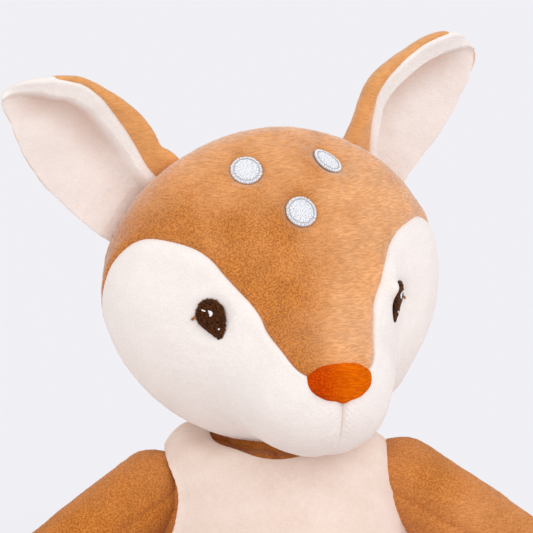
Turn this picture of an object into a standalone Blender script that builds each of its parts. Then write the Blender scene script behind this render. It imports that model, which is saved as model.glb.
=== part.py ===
# Seated plush fawn with a sleeveless vest. Metres, +Z up, the fawn's front faces -Y.
# The origin is the middle of the flat seat under the torso. "Forward" below means towards -Y.

import math

import bmesh
import bpy
import numpy as np
from mathutils import Matrix, Vector

# Cloth and running gaps
SKIN = 0.0018
GAP = 0.0003
VEST_CLOTH = 0.0012
SOCKET_GAP = 0.0006
OVERRUN = 0.05
FLAT_DEPTH = 0.0005
WELD = 0.00001

# Torso
TORSO_HEIGHT = 0.1166
TORSO_HALF_WIDTH = 0.045
TORSO_HALF_DEPTH = 0.037
TORSO_SEGMENTS = 24

# Pellet bag in the seat
BAG_HEIGHT = 0.018
BAG_HALF_WIDTH = 0.026
BAG_HALF_DEPTH = 0.017
BAG_BACK = 0.007

# Vest
VEST_HEM_HEIGHT = 0.040
NECKLINE_HALF_WIDTH = 0.0205
NECKLINE_HALF_DEPTHS = {"vest_front": 0.0215, "vest_back": 0.0195}
ARMHOLE_HALF_DEPTH = 0.0142
ARMHOLE_HALF_HEIGHT = 0.0165
ARMHOLE_INNER = 0.0325

# Neck, a short stuffed column with a round top, standing in a round pit in the torso
NECK_RADIUS = 0.0150
NECK_WAIST_RADIUS = 0.0136
NECK_DOME_RADIUS = 0.0175
NECK_PIT_DEPTH = 0.0120
NECK_RISE = 0.0119
NECK_PIVOT_HEIGHT = TORSO_HEIGHT + NECK_RISE
NECK_DOME_STEPS = 8
NECK_SEGMENTS = 24

# Head. Each ball has a place (forward, up) and half sizes (wide, deep, high)
HEAD_RISE = 0.0355
HEAD_HEIGHT = NECK_PIVOT_HEIGHT + HEAD_RISE
HEAD_FORWARD = 0.0
HEAD_TURN = math.radians(20.9)
HEAD_NOD = math.radians(1.3)
CRANIUM_PLACE = (-0.006, 0.004)
CRANIUM_HALF = (0.0457, 0.0389, 0.0362)
BROW_PLACE = (0.006, 0.0064)
BROW_HALF = (0.0389, 0.0153, 0.0391)
MUZZLE_PLACE = (0.040, -0.024)
MUZZLE_HALF = (0.0205, 0.0170, 0.0171)
BALL_BLEND = 0.010
HEAD_SEGMENTS = 30
HEAD_RINGS = 18
SEARCH_LOW = 0.010
SEARCH_HIGH = 0.110
SLOPE_STEP = 0.0002
MOST_LEAN = 0.35

# Cream face panels: the corners of their edge, seen from the side (forward, up)
FACE_EDGE = (
    (0.0550, -0.0158),
    (0.0525, -0.0139),
    (0.0475, -0.0096),
    (0.0405, -0.0042),
    (0.0372, 0.0004),
    (0.0343, 0.0058),
    (0.0311, 0.0122),
    (0.0276, 0.0180),
    (0.0232, 0.0217),
    (0.0165, 0.0236),
    (0.0115, 0.0222),
    (0.0062, 0.0172),
    (0.0015, 0.0105),
    (-0.0040, 0.0000),
    (-0.0090, -0.0150),
    (-0.0135, -0.0310),
)
BACK_SEAM_FORWARD = -0.0085

# Nose, eyes and forehead dots, placed on the head's surface (side, forward, up)
NOSE_SPOT = (0.0, 0.0558, -0.0176)
NOSE_HALF_WIDTH = 0.0109
NOSE_HALF_HEIGHT = 0.0059
NOSE_STAND = 0.0026
EYE_SPOT = (0.0308, 0.0305, 0.0002)
EYE_HALF_WIDTH = 0.0048
EYE_HALF_HEIGHT = 0.0059
DOT_SPOT = (0.0, 0.0289, 0.0302)
SIDE_DOT_SPOT = (0.0136, 0.0188, 0.0426)
DOT_RADIUS = 0.0051
DOT_SEGMENTS = 20
STITCH_STAND = 0.0010

# Ears. The two are set on the head a little differently, as sewn by hand
EAR_LENGTH = 0.0514
EAR_HALF_WIDTH = 0.0179
EAR_CUP = 0.0050
EAR_BOW = 0.0030
EAR_TIP_LEAN = 0.0010
EAR_SHEET = 0.0017
EAR_ROLL_RADIUS = 0.0028
EAR_ROLL_HALF_LENGTH = 0.0112
EAR_ROOT_GAP = 0.0006
EAR_SPOTS = {"left": (0.0359, -0.0087, 0.0351), "right": (0.0410, -0.0079, 0.0309)}
EAR_AXIS_SHARES = {"left": (0.70, -0.02, 0.71), "right": (0.74, 0.03, 0.68)}
EAR_ACROSS_SHARES = {"left": (0.68, -0.28, -0.68), "right": (0.67, -0.14, -0.73)}
EAR_LENGTH_STEPS = 10
EAR_WIDTH_STEPS = 6

# Arms
SHOULDER_DROP = 0.0131
ARM_PIVOT = (0.0390, 0.0, TORSO_HEIGHT - SHOULDER_DROP)
ARM_LENGTH = 0.097
ARM_ROOT_RADIUS = 0.0132
ARM_WAIST_RADIUS = 0.0112
ARM_HAND_RADIUS = 0.0130
ARM_DROP = math.radians(32.0)
ARM_REACH_FORWARD = math.radians(8.0)
ARM_LOWERING = math.radians(15.0)

# Legs
LEG_PIVOT_SIDE = 0.0240
LEG_PIVOT_FORWARD = 0.0300
LEG_LENGTH = 0.112
LEG_ROOT_RADIUS = 0.0170
LEG_WAIST_RADIUS = 0.0135
LEG_FOOT_RADIUS = 0.0170
LEG_SPLAY = math.radians(12.0)
LIMB_SEGMENTS = 12
LIMB_ROOT_ANGLES = (-78, -48, -18, 12)
LIMB_TIP_ANGLES = (-8, 25, 52, 78)
LIMB_SWELL_SHARE = 0.6
LIMB_OPENING = 0.0050

# Tail
TAIL_PIVOT = (0.0, 0.0395, 0.0240)
TAIL_LENGTH = 0.030
TAIL_ROOT_RADIUS = 0.0068
TAIL_WAIST_RADIUS = 0.0076
TAIL_TIP_RADIUS = 0.0046
TAIL_RISE = math.radians(25.0)

# Rows of the torso from the seat up: height, half width, half depth
TORSO_ROW_SHARES = (
    (0.000, 0.800, 0.757),
    (0.048, 0.944, 0.924),
    (0.157, 1.000, 1.000),
    (0.296, 0.991, 1.000),
    (0.431, 0.956, 0.965),
    (0.558, 0.913, 0.916),
    (0.673, 0.882, 0.859),
    (0.787, 0.858, 0.784),
    (0.870, 0.836, 0.724),
    (0.924, 0.809, 0.670),
    (0.961, 0.764, 0.622),
    (0.984, 0.702, 0.576),
    (0.996, 0.627, 0.527),
    (1.000, 0.533, 0.465),
)
BAG_ROW_SHARES = (
    (0.00, 0.72, 0.72),
    (0.22, 0.97, 0.97),
    (0.50, 1.00, 1.00),
    (0.80, 0.80, 0.80),
    (0.96, 0.45, 0.45),
)
EYE_OUTLINE_SHARES = (
    (-1.05, 0.10),
    (-0.92, 0.62),
    (-0.52, 0.97),
    (0.05, 1.02),
    (0.58, 0.72),
    (0.90, 0.20),
    (0.95, -0.35),
    (0.72, -0.90),
    (0.42, -1.00),
    (-0.05, -0.78),
    (-0.60, -0.40),
)
NOSE_OUTLINE_SHARES = (
    (-1.00, 0.11),
    (-0.95, 0.47),
    (-0.62, 0.84),
    (-0.30, 0.97),
    (0.30, 0.97),
    (0.62, 0.84),
    (0.95, 0.47),
    (1.00, 0.11),
    (0.91, -0.25),
    (0.80, -0.55),
    (0.48, -0.84),
    (0.16, -1.00),
    (-0.16, -1.00),
    (-0.48, -0.84),
    (-0.80, -0.55),
    (-0.91, -0.25),
)
# The ear from its root to its tip: half width, and how far its middle lies inwards of its axis
EAR_ROW_SHARES = (
    (0.83, 0.05),
    (0.93, 0.13),
    (0.97, 0.18),
    (1.00, 0.23),
    (1.00, 0.25),
    (0.96, 0.26),
    (0.89, 0.25),
    (0.78, 0.24),
    (0.64, 0.21),
    (0.45, 0.16),
    (0.14, 0.03),
)

CARAMEL = (0.60, 0.30, 0.11, 1.0)
CREAM = (0.90, 0.84, 0.78, 1.0)
RUST = (0.70, 0.14, 0.02, 1.0)
EYE_BROWN = (0.045, 0.012, 0.003, 1.0)
DOT_WHITE = (0.80, 0.81, 0.84, 1.0)
VEST_PINK = (0.86, 0.72, 0.64, 1.0)
FIBRE_WHITE = (0.92, 0.92, 0.90, 1.0)
BAG_GREY = (0.55, 0.54, 0.52, 1.0)

SIDES = (("left", 1), ("right", -1))


def clear_scene():
    for ob in list(bpy.data.objects):
        bpy.data.objects.remove(ob, do_unlink=True)
    for mesh in list(bpy.data.meshes):
        bpy.data.meshes.remove(mesh)


def new_collection(name):
    group = bpy.data.collections.new(name)
    bpy.context.scene.collection.children.link(group)
    return group


def plain_material(name, colour, roughness):
    mat = bpy.data.materials.new(name)
    mat.use_nodes = True
    shader = mat.node_tree.nodes["Principled BSDF"]
    shader.inputs["Base Color"].default_value = colour
    shader.inputs["Roughness"].default_value = roughness
    shader.inputs["Metallic"].default_value = 0.0
    mat.diffuse_color = colour
    return mat


class Workshop:
    """The two collections and the empties that carry the moving pieces."""

    def __init__(self):
        self.parts = new_collection("plush_fawn")
        self.cutters = new_collection("cutters")

    def hinge_empty(self, name, place):
        empty = bpy.data.objects.new(name, None)
        empty.matrix_world = place
        self.parts.objects.link(empty)
        return empty

    def add(self, name, mesh, place, colour=None, roughness=0.9, carrier=None):
        """Adds a mesh object. With no colour it is a cutter."""
        ob = bpy.data.objects.new(name, mesh)
        if colour is None:
            self.cutters.objects.link(ob)
            ob.hide_render = True
            ob.display_type = "WIRE"
            ob.matrix_world = place
            return ob
        self.parts.objects.link(ob)
        mesh.materials.append(plain_material(name, colour, roughness))
        if carrier:
            ob.parent = carrier
            ob.matrix_parent_inverse = carrier.matrix_world.inverted()
        ob.matrix_world = place
        return ob


def boolean(ob, cutter, operation="DIFFERENCE"):
    mod = ob.modifiers.new(operation.lower() + "_" + cutter.name, "BOOLEAN")
    mod.operation = operation
    mod.solver = "EXACT"
    mod.object = cutter


def split_quads(bm):
    """Splits every quad along the same diagonal, so that forms at two depths nest face by face."""
    bmesh.ops.triangulate(bm, faces=bm.faces, quad_method="FIXED", ngon_method="EAR_CLIP")


def finished_mesh(bm, name, smooth=True):
    mesh = bpy.data.meshes.new(name)
    bm.to_mesh(mesh)
    bm.free()
    if smooth:
        mesh.shade_smooth()
    return mesh


def swelled_mesh(name, rows, segments, grow=0.0):
    """A closed round form: a sphere whose rings take the rows' height, half width and half depth.

    The poles lie on the first and the last row. grow moves the surface outwards.
    """
    bm = bmesh.new()
    bmesh.ops.create_uvsphere(bm, u_segments=segments, v_segments=len(rows) + 1, radius=1.0)
    low, high = rows[0][0] - grow, rows[-1][0] + grow
    for v in bm.verts:
        polar = math.acos(max(-1.0, min(1.0, v.co.z)))
        ring = round((math.pi - polar) / math.pi * (len(rows) + 1))
        if ring == 0 or ring == len(rows) + 1:
            v.co = Vector((0.0, 0.0, low if ring == 0 else high))
            continue
        height, wide, deep = rows[ring - 1]
        turn = math.atan2(v.co.y, v.co.x)
        height = min(max(height, low), high)
        if ring == 1:
            height = low
        if ring == len(rows):
            height = high
        v.co = Vector(((wide + grow) * math.cos(turn), (deep + grow) * math.sin(turn), height))
    bmesh.ops.recalc_face_normals(bm, faces=bm.faces)
    split_quads(bm)
    return finished_mesh(bm, name)


def torso_rows():
    return [(h * TORSO_HEIGHT, w * TORSO_HALF_WIDTH, d * TORSO_HALF_DEPTH) for h, w, d in TORSO_ROW_SHARES]


def limb_rows(root, waist, tip, length):
    """Rows of a limb along its own axis from the pivot: a round root, a drawn-in waist, a round end."""
    rows = []
    for angle in LIMB_ROOT_ANGLES:
        a = math.radians(angle)
        rows.append((root * math.sin(a), root * math.cos(a)))
    end = length - tip
    middle = end / 2
    rows.append((middle * LIMB_SWELL_SHARE, (root + waist) / 2))
    rows.append((middle, waist))
    rows.append((middle + (end - middle) * LIMB_SWELL_SHARE, (tip + waist) / 2))
    for angle in LIMB_TIP_ANGLES:
        a = math.radians(angle)
        rows.append((end + tip * math.sin(a), tip * math.cos(a)))
    return [(along, radius, radius) for along, radius in rows]


def cylinder_mesh(name, radius, length, segments=20):
    bm = bmesh.new()
    bmesh.ops.create_cone(
        bm, cap_ends=True, segments=segments, radius1=radius, radius2=radius, depth=length
    )
    return finished_mesh(bm, name)


def ball_mesh(name, radius, segments=20, rings=12):
    bm = bmesh.new()
    bmesh.ops.create_uvsphere(bm, u_segments=segments, v_segments=rings, radius=radius)
    return finished_mesh(bm, name)


def box_mesh(name, low, high):
    bm = bmesh.new()
    bmesh.ops.create_cube(bm, size=1.0)
    low, high = Vector(low), Vector(high)
    for v in bm.verts:
        v.co = Vector([(v.co[i] + 0.5) * (high[i] - low[i]) + low[i] for i in range(3)])
    return finished_mesh(bm, name, smooth=False)


def frame_matrix(x_axis, y_axis, z_axis, place):
    """A placing matrix from three unit axes and a place."""
    m = Matrix((x_axis, y_axis, z_axis)).transposed().to_4x4()
    m.translation = place
    return m


def along_matrix(direction, up, place):
    """Local +Z runs along direction, local +Y as near to up as it can."""
    z = Vector(direction).normalized()
    x = Vector(up).cross(z).normalized()
    return frame_matrix(x, z.cross(x), z, Vector(place))


def prism_mesh(name, points, half_thickness):
    """A flat outline as a filled 2D curve with an extrude, made a mesh for cutting."""
    curve = bpy.data.curves.new(name, "CURVE")
    curve.dimensions = "2D"
    curve.fill_mode = "BOTH"
    curve.extrude = half_thickness
    spline = curve.splines.new("POLY")
    spline.points.add(len(points) - 1)
    for point, (x, y) in zip(spline.points, points):
        point.co = (x, y, 0.0, 1.0)
    spline.use_cyclic_u = True
    ob = bpy.data.objects.new(name, curve)
    bpy.context.scene.collection.objects.link(ob)
    bpy.context.view_layer.update()
    mesh = bpy.data.meshes.new_from_object(ob.evaluated_get(bpy.context.evaluated_depsgraph_get()))
    bpy.data.objects.remove(ob, do_unlink=True)
    bm = bmesh.new()
    bm.from_mesh(mesh)
    bpy.data.meshes.remove(mesh)
    bmesh.ops.remove_doubles(bm, verts=bm.verts, dist=WELD)
    bmesh.ops.recalc_face_normals(bm, faces=bm.faces)
    return finished_mesh(bm, name, smooth=False)


def moved_outline(points, distance):
    """The closed outline moved outwards by distance along its own normals."""
    p = np.array(points)
    after, before = np.roll(p, -1, axis=0), np.roll(p, 1, axis=0)
    area = np.sum(p[:, 0] * after[:, 1] - after[:, 0] * p[:, 1])
    tangent = after - before
    normal = np.stack([tangent[:, 1], -tangent[:, 0]], axis=1) * np.sign(area)
    normal /= np.linalg.norm(normal, axis=1)[:, None]
    return [tuple(q) for q in p + normal * distance]


# The head's form: three balls run together


def head_distance(points):
    """Distance to the soft union of the head's balls, negative inside. Points are side, forward, up."""
    total = 0.0
    for place, half in (
        (CRANIUM_PLACE, CRANIUM_HALF),
        (BROW_PLACE, BROW_HALF),
        (MUZZLE_PLACE, MUZZLE_HALF),
    ):
        scaled = (points - np.array([0.0, place[0], place[1]])) / np.array(half)
        distance = (np.linalg.norm(scaled, axis=-1) - 1.0) * min(half)
        total = total + np.exp(-distance / BALL_BLEND)
    return -BALL_BLEND * np.log(total)


def head_normals(points):
    slope = []
    for axis in range(3):
        step = np.zeros(3)
        step[axis] = SLOPE_STEP
        slope.append(head_distance(points + step) - head_distance(points - step))
    normal = np.stack(slope, axis=-1)
    return normal / np.linalg.norm(normal, axis=-1, keepdims=True)


def head_points(directions, grow=0.0):
    """Where rays from the head's centre meet its surface, moved outwards by grow."""
    d = np.array(directions, dtype=float)
    d = d / np.linalg.norm(d, axis=-1, keepdims=True)
    low = np.full(d.shape[:-1], SEARCH_LOW)
    high = np.full(d.shape[:-1], SEARCH_HIGH)
    for _ in range(40):
        middle = (low + high) / 2
        outside = head_distance(d * middle[..., None]) > 0.0
        high = np.where(outside, middle, high)
        low = np.where(outside, low, middle)
    points = d * low[..., None]
    lean = np.clip(np.sum(d * head_normals(points), axis=-1), MOST_LEAN, None)
    return points + d * (grow / lean)[..., None]


def head_place():
    turn = Matrix.Rotation(HEAD_TURN, 4, "Z") @ Matrix.Rotation(HEAD_NOD, 4, "X")
    return Matrix.Translation((0.0, -HEAD_FORWARD, HEAD_HEIGHT)) @ turn


def from_face(spot):
    """(side, forward, up) as a point in the head object's own axes."""
    return Vector((spot[0], -spot[1], spot[2]))


def head_mesh(name, grow=0.0):
    bm = bmesh.new()
    bmesh.ops.create_uvsphere(bm, u_segments=HEAD_SEGMENTS, v_segments=HEAD_RINGS, radius=1.0)
    directions = np.array([(v.co.x, -v.co.y, v.co.z) for v in bm.verts])
    for v, p in zip(bm.verts, head_points(directions, grow)):
        v.co = from_face(p)
    split_quads(bm)
    return finished_mesh(bm, name)


def surface_frame(spot):
    """Where a spot's ray meets the head: local +Z out of the surface, +Y up, +X across."""
    point = head_points(np.array([spot]))
    normal = head_normals(point)[0]
    return along_matrix(from_face(normal), (0.0, 0.0, 1.0), from_face(point[0]))


def face_side_matrix():
    """Local X is forward, local Y is up, and the extrude runs from side to side."""
    return frame_matrix(Vector((0, -1, 0)), Vector((0, 0, 1)), Vector((-1, 0, 0)), Vector((0, 0, 0)))


def face_outline():
    """The cream panels' region seen from the side: the sewn edge, then round outside the head."""
    last = FACE_EDGE[-1]
    first = FACE_EDGE[0]
    below = last[1] - OVERRUN
    ahead = first[0] + OVERRUN
    return list(FACE_EDGE) + [(last[0], below), (ahead, below), (ahead, first[1])]


class Head:
    """The head's forms at each depth, shared by every piece that is cut to it."""

    def __init__(self, shop):
        self.shop = shop
        self.place = head_place()
        self.pivot = Vector((0.0, 0.0, NECK_PIVOT_HEIGHT))
        self.carrier = shop.hinge_empty(
            "head_nod_axis", Matrix.Translation(self.pivot) @ Matrix.Rotation(HEAD_TURN, 4, "Z")
        )
        self.inner = self.cutter("head_inside", -SKIN)
        self.seat = self.cutter("head_seat", GAP)
        pocket = ball_mesh("neck_pocket", NECK_DOME_RADIUS + SOCKET_GAP)
        self.pocket = shop.add("neck_pocket", pocket, Matrix.Translation(self.pivot))

    def cutter(self, name, grow):
        return self.shop.add(name, head_mesh(name, grow), self.place)

    def piece(self, name, mesh, colour, place=None, roughness=0.9):
        place = self.place if place is None else place
        return self.shop.add(name, mesh, place, colour, roughness, self.carrier)


def build_head(shop):
    head = Head(shop)
    filling = head.piece("head_filling", head_mesh("head_filling", -SKIN - GAP), FIBRE_WHITE)
    boolean(filling, head.pocket)

    side_view = head.place @ face_side_matrix()
    whole = prism_mesh("face_region", moved_outline(face_outline(), GAP / 2), OVERRUN * 2)
    region = shop.add("face_region", whole, side_view)
    seam = BACK_SEAM_FORWARD
    wide = OVERRUN * 2
    front_box = box_mesh("crown_region", (-wide, -wide, -wide), (wide, -seam - GAP / 2, wide))
    back_box = box_mesh("back_region", (-wide, -seam + GAP / 2, -wide), (wide, wide, wide))
    front = shop.add("crown_region", front_box, head.place)
    back = shop.add("back_region", back_box, head.place)
    for name, part_region in (("crown_panel", front), ("back_head_panel", back)):
        panel = head.piece(name, head_mesh(name), CARAMEL)
        boolean(panel, part_region, "INTERSECT")
        boolean(panel, region)
        boolean(panel, head.inner)
        boolean(panel, head.pocket)

    narrow = prism_mesh("cheek_region", moved_outline(face_outline(), -GAP / 2), OVERRUN)
    for side, sign in SIDES:
        shift = Matrix.Translation((sign * (OVERRUN + GAP / 2), 0.0, 0.0))
        cheek = shop.add("cheek_region_" + side, narrow.copy(), head.place @ shift @ face_side_matrix())
        panel = head.piece("face_panel_" + side, head_mesh("face_panel_" + side), CREAM)
        boolean(panel, cheek, "INTERSECT")
        boolean(panel, head.inner)
        boolean(panel, head.pocket)
    return head


def add_patch(head, name, spot, outline, stand, colour, roughness=0.8):
    """A patch that follows the head's surface: its outline's prism between two depths of the head."""
    prism = prism_mesh(name, outline, OVERRUN / 4)
    patch = head.piece(name, prism, colour, head.place @ surface_frame(spot), roughness)
    top_name = "stand_%d" % round(stand * 1e6)
    top = bpy.data.objects.get(top_name) or head.cutter(top_name, stand)
    boolean(patch, top, "INTERSECT")
    boolean(patch, head.seat)
    return patch


def build_features(head):
    nose = [(x * NOSE_HALF_WIDTH, y * NOSE_HALF_HEIGHT) for x, y in NOSE_OUTLINE_SHARES]
    add_patch(head, "nose_patch", NOSE_SPOT, nose, NOSE_STAND, RUST)
    for side, sign in SIDES:
        spot = (sign * EYE_SPOT[0], EYE_SPOT[1], EYE_SPOT[2])
        eye = [(-sign * x * EYE_HALF_WIDTH, y * EYE_HALF_HEIGHT) for x, y in EYE_OUTLINE_SHARES]
        add_patch(head, "eye_" + side, spot, eye, STITCH_STAND, EYE_BROWN, 0.5)
    ring = [math.tau * i / DOT_SEGMENTS for i in range(DOT_SEGMENTS)]
    dot = [(DOT_RADIUS * math.cos(a), DOT_RADIUS * math.sin(a)) for a in ring]
    add_patch(head, "dot_centre", DOT_SPOT, dot, STITCH_STAND, DOT_WHITE, 0.5)
    for side, sign in SIDES:
        spot = (sign * SIDE_DOT_SPOT[0], SIDE_DOT_SPOT[1], SIDE_DOT_SPOT[2])
        add_patch(head, "dot_" + side, spot, dot, STITCH_STAND, DOT_WHITE, 0.5)


def ear_frame(side, sign):
    """The ear's own axes in the head, at its hinge: X along the hinge, Y out of its front, Z to its tip."""
    mirror = Vector((sign, 1.0, 1.0))
    spot = from_face(EAR_SPOTS[side]) * mirror
    foot = head_points(np.array([(spot.x, -spot.y, spot.z)]))
    normal = from_face(head_normals(foot)[0])
    root = from_face(foot[0]) + normal * (EAR_ROLL_RADIUS + EAR_ROOT_GAP)
    z = (from_face(EAR_AXIS_SHARES[side]) * mirror).normalized()
    across = from_face(EAR_ACROSS_SHARES[side]) * mirror
    x = (across - z * across.dot(z)).normalized() * -sign
    return frame_matrix(x, z.cross(x), z, root)


def ear_sheet_mesh(name, sign, first_step, depth):
    """A cupped leaf: each row takes its shares, curls forward at its edges and bows back along the ear."""
    steps = EAR_LENGTH_STEPS - first_step
    bm = bmesh.new()
    bmesh.ops.create_grid(bm, x_segments=EAR_WIDTH_STEPS, y_segments=steps, size=1.0)
    for v in bm.verts:
        place = (v.co.y + 1.0) / 2.0 * steps + first_step
        low = min(int(place), EAR_LENGTH_STEPS - 1)
        share, inwards = (
            EAR_ROW_SHARES[low][i] + (EAR_ROW_SHARES[low + 1][i] - EAR_ROW_SHARES[low][i]) * (place - low)
            for i in range(2)
        )
        across = v.co.x
        along = place / EAR_LENGTH_STEPS
        curl = EAR_CUP * share * across * across
        lean = EAR_TIP_LEAN * along * along - EAR_BOW * 4.0 * along * (1.0 - along)
        side = (across * share + sign * inwards) * EAR_HALF_WIDTH
        v.co = Vector((side, curl + lean + depth, along * EAR_LENGTH))
    bmesh.ops.recalc_face_normals(bm, faces=bm.faces)
    if sum(f.normal.y for f in bm.faces) < 0.0:
        bmesh.ops.reverse_faces(bm, faces=bm.faces)
    return finished_mesh(bm, name)


def ear_sheet(shop, name, mesh, offset, place, colour, hinge):
    sheet = shop.add(name, mesh, place, colour, 0.9, hinge)
    solid = sheet.modifiers.new("thickness", "SOLIDIFY")
    solid.thickness = EAR_SHEET
    solid.offset = offset
    return sheet


def build_ears(shop, head):
    """Each ear is a caramel back with a rolled root, and a cream lining that starts above the root."""
    for side, sign in SIDES:
        place = head.place @ ear_frame(side, sign)
        hinge = shop.hinge_empty("ear_%s_axis" % side, place)
        leaf = ear_sheet_mesh("ear_back_" + side, sign, 0, 0.0)
        back = ear_sheet(shop, "ear_back_" + side, leaf, -1.0, place, CARAMEL, hinge)
        roll_place = place @ Matrix.Rotation(math.pi / 2, 4, "Y")
        roll = cylinder_mesh("ear_roll_" + side, EAR_ROLL_RADIUS, EAR_ROLL_HALF_LENGTH * 2, LIMB_SEGMENTS)
        boolean(back, shop.add("ear_roll_" + side, roll, roll_place), "UNION")
        leaf = ear_sheet_mesh("ear_lining_" + side, sign, 1, GAP)
        ear_sheet(shop, "ear_lining_" + side, leaf, 1.0, place, CREAM, hinge)


def build_neck(shop):
    """A turned column: flat foot on the torso, straight side, round top about the nod pivot."""
    foot = TORSO_HEIGHT - NECK_PIT_DEPTH + GAP
    steps = NECK_DOME_STEPS
    shoulder = -math.acos(NECK_WAIST_RADIUS / NECK_DOME_RADIUS)
    profile = [(0.0, NECK_PIVOT_HEIGHT + NECK_DOME_RADIUS)]
    for step in range(1, steps + 1):
        a = math.pi / 2 + (shoulder - math.pi / 2) * step / steps
        profile.append((NECK_DOME_RADIUS * math.cos(a), NECK_PIVOT_HEIGHT + NECK_DOME_RADIUS * math.sin(a)))
    profile.append((NECK_RADIUS, foot))
    profile.append((0.0, foot))
    mesh = bpy.data.meshes.new("neck")
    points = [(x, 0.0, z - NECK_PIVOT_HEIGHT) for x, z in profile]
    mesh.from_pydata(points, [(i, i + 1) for i in range(len(points) - 1)], [])
    place = Matrix.Translation((0.0, 0.0, NECK_PIVOT_HEIGHT))
    hinge = shop.hinge_empty("neck_turn_axis", place)
    neck = shop.add("neck", mesh, place, CARAMEL, 0.9, hinge)
    screw = neck.modifiers.new("turned", "SCREW")
    screw.steps = screw.render_steps = NECK_SEGMENTS
    screw.use_merge_vertices = True
    screw.merge_threshold = WELD


def limb(shop, name, rows, place, hinge, floor=None):
    """A sewn limb: a skin with an opening at its root, and a filling inside it."""
    skin_mesh = swelled_mesh(name + "_skin", rows, LIMB_SEGMENTS)
    skin = shop.add(name + "_skin", skin_mesh, place, CARAMEL, 0.9, hinge)
    inner = shop.add(name + "_inside", swelled_mesh(name + "_inside", rows, LIMB_SEGMENTS, -SKIN), place)
    opening = place @ Matrix.Translation((0.0, 0.0, rows[0][0]))
    hole_mesh = cylinder_mesh(name + "_opening", LIMB_OPENING, SKIN * 4, LIMB_SEGMENTS)
    hole = shop.add(name + "_opening", hole_mesh, opening)
    if floor:
        boolean(skin, floor)
    boolean(skin, inner)
    boolean(skin, hole)
    filling = swelled_mesh(name + "_filling", rows, LIMB_SEGMENTS, -SKIN - GAP)
    shop.add(name + "_filling", filling, place, FIBRE_WHITE, 0.9, hinge)


def arm_place(sign, lowered=0.0):
    """The arm's own axes at its shoulder, at rest or lowered by an angle."""
    drop = ARM_DROP + lowered
    out = Vector(
        (
            sign * math.cos(drop) * math.cos(ARM_REACH_FORWARD),
            -math.cos(drop) * math.sin(ARM_REACH_FORWARD),
            -math.sin(drop),
        )
    )
    pivot = (sign * ARM_PIVOT[0], ARM_PIVOT[1], ARM_PIVOT[2])
    return along_matrix(out, (0.0, -1.0, 0.0), pivot)


def leg_place(sign):
    out = (sign * math.sin(LEG_SPLAY), -math.cos(LEG_SPLAY), 0.0)
    pivot = (sign * LEG_PIVOT_SIDE, -LEG_PIVOT_FORWARD, LEG_ROOT_RADIUS - FLAT_DEPTH)
    return along_matrix(out, (0.0, 0.0, 1.0), pivot)


def build_limbs(shop):
    arm = limb_rows(ARM_ROOT_RADIUS, ARM_WAIST_RADIUS, ARM_HAND_RADIUS, ARM_LENGTH)
    leg = limb_rows(LEG_ROOT_RADIUS, LEG_WAIST_RADIUS, LEG_FOOT_RADIUS, LEG_LENGTH)
    deep = OVERRUN * 4
    below = box_mesh("floor_cut", (-deep, -deep, -OVERRUN), (deep, deep, 0.0))
    floor = shop.add("floor_cut", below, Matrix())
    sockets = []
    for side, sign in SIDES:
        place = arm_place(sign)
        limb(shop, "arm_" + side, arm, place, shop.hinge_empty("shoulder_%s_axis" % side, place))
        socket = ball_mesh("shoulder_socket_" + side, ARM_ROOT_RADIUS + SOCKET_GAP)
        sockets.append(shop.add("shoulder_socket_" + side, socket, place))
        room = arm_place(sign, ARM_LOWERING) @ Matrix.Translation((0.0, 0.0, OVERRUN / 2))
        channel = cylinder_mesh("shoulder_channel_" + side, ARM_ROOT_RADIUS + SOCKET_GAP, OVERRUN)
        sockets.append(shop.add("shoulder_channel_" + side, channel, room))
    for side, sign in SIDES:
        place = leg_place(sign)
        limb(shop, "leg_" + side, leg, place, shop.hinge_empty("hip_%s_axis" % side, place), floor)
        socket = ball_mesh("hip_socket_" + side, LEG_ROOT_RADIUS + SOCKET_GAP)
        sockets.append(shop.add("hip_socket_" + side, socket, place))
        middle = Matrix.Translation(place.translation - Vector((0.0, 0.0, OVERRUN / 2)))
        channel = cylinder_mesh("hip_channel_" + side, LEG_ROOT_RADIUS + SOCKET_GAP, OVERRUN)
        sockets.append(shop.add("hip_channel_" + side, channel, middle))
    return sockets


def build_tail(shop):
    rows = limb_rows(TAIL_ROOT_RADIUS, TAIL_WAIST_RADIUS, TAIL_TIP_RADIUS, TAIL_LENGTH)
    place = along_matrix((0.0, math.cos(TAIL_RISE), math.sin(TAIL_RISE)), (0.0, 0.0, 1.0), TAIL_PIVOT)
    hinge = shop.hinge_empty("tail_axis", place)
    shop.add("tail", swelled_mesh("tail", rows, LIMB_SEGMENTS), place, CARAMEL, 0.9, hinge)
    socket = ball_mesh("tail_socket", TAIL_ROOT_RADIUS + SOCKET_GAP)
    return shop.add("tail_socket", socket, place)


def build_torso(shop, sockets):
    rows = torso_rows()
    origin = Matrix()

    def form(name, grow, colour=None):
        return shop.add(name, swelled_mesh(name, rows, TORSO_SEGMENTS, grow), origin, colour)

    inside = form("torso_inside", -SKIN)
    mouth = cylinder_mesh("neck_pit", NECK_RADIUS + SOCKET_GAP, NECK_PIT_DEPTH * 2, TORSO_SEGMENTS)
    pit = shop.add("neck_pit", mouth, Matrix.Translation((0.0, 0.0, TORSO_HEIGHT)))
    skin = form("torso_skin", 0.0, CARAMEL)
    boolean(skin, inside)
    filling = form("torso_filling", -SKIN - GAP, FIBRE_WHITE)
    boolean(skin, pit)
    boolean(filling, pit)

    bag_rows = [(h * BAG_HEIGHT, w * BAG_HALF_WIDTH, d * BAG_HALF_DEPTH) for h, w, d in BAG_ROW_SHARES]
    bag_place = Matrix.Translation((0.0, BAG_BACK, SKIN + GAP))
    shop.add("pellet_bag", swelled_mesh("pellet_bag", bag_rows, LIMB_SEGMENTS), bag_place, BAG_GREY)
    nest = shop.add("bag_nest", swelled_mesh("bag_nest", bag_rows, LIMB_SEGMENTS, GAP), bag_place)
    boolean(filling, nest)
    for socket in sockets:
        boolean(skin, socket)
        boolean(filling, socket)
    return rows


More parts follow.
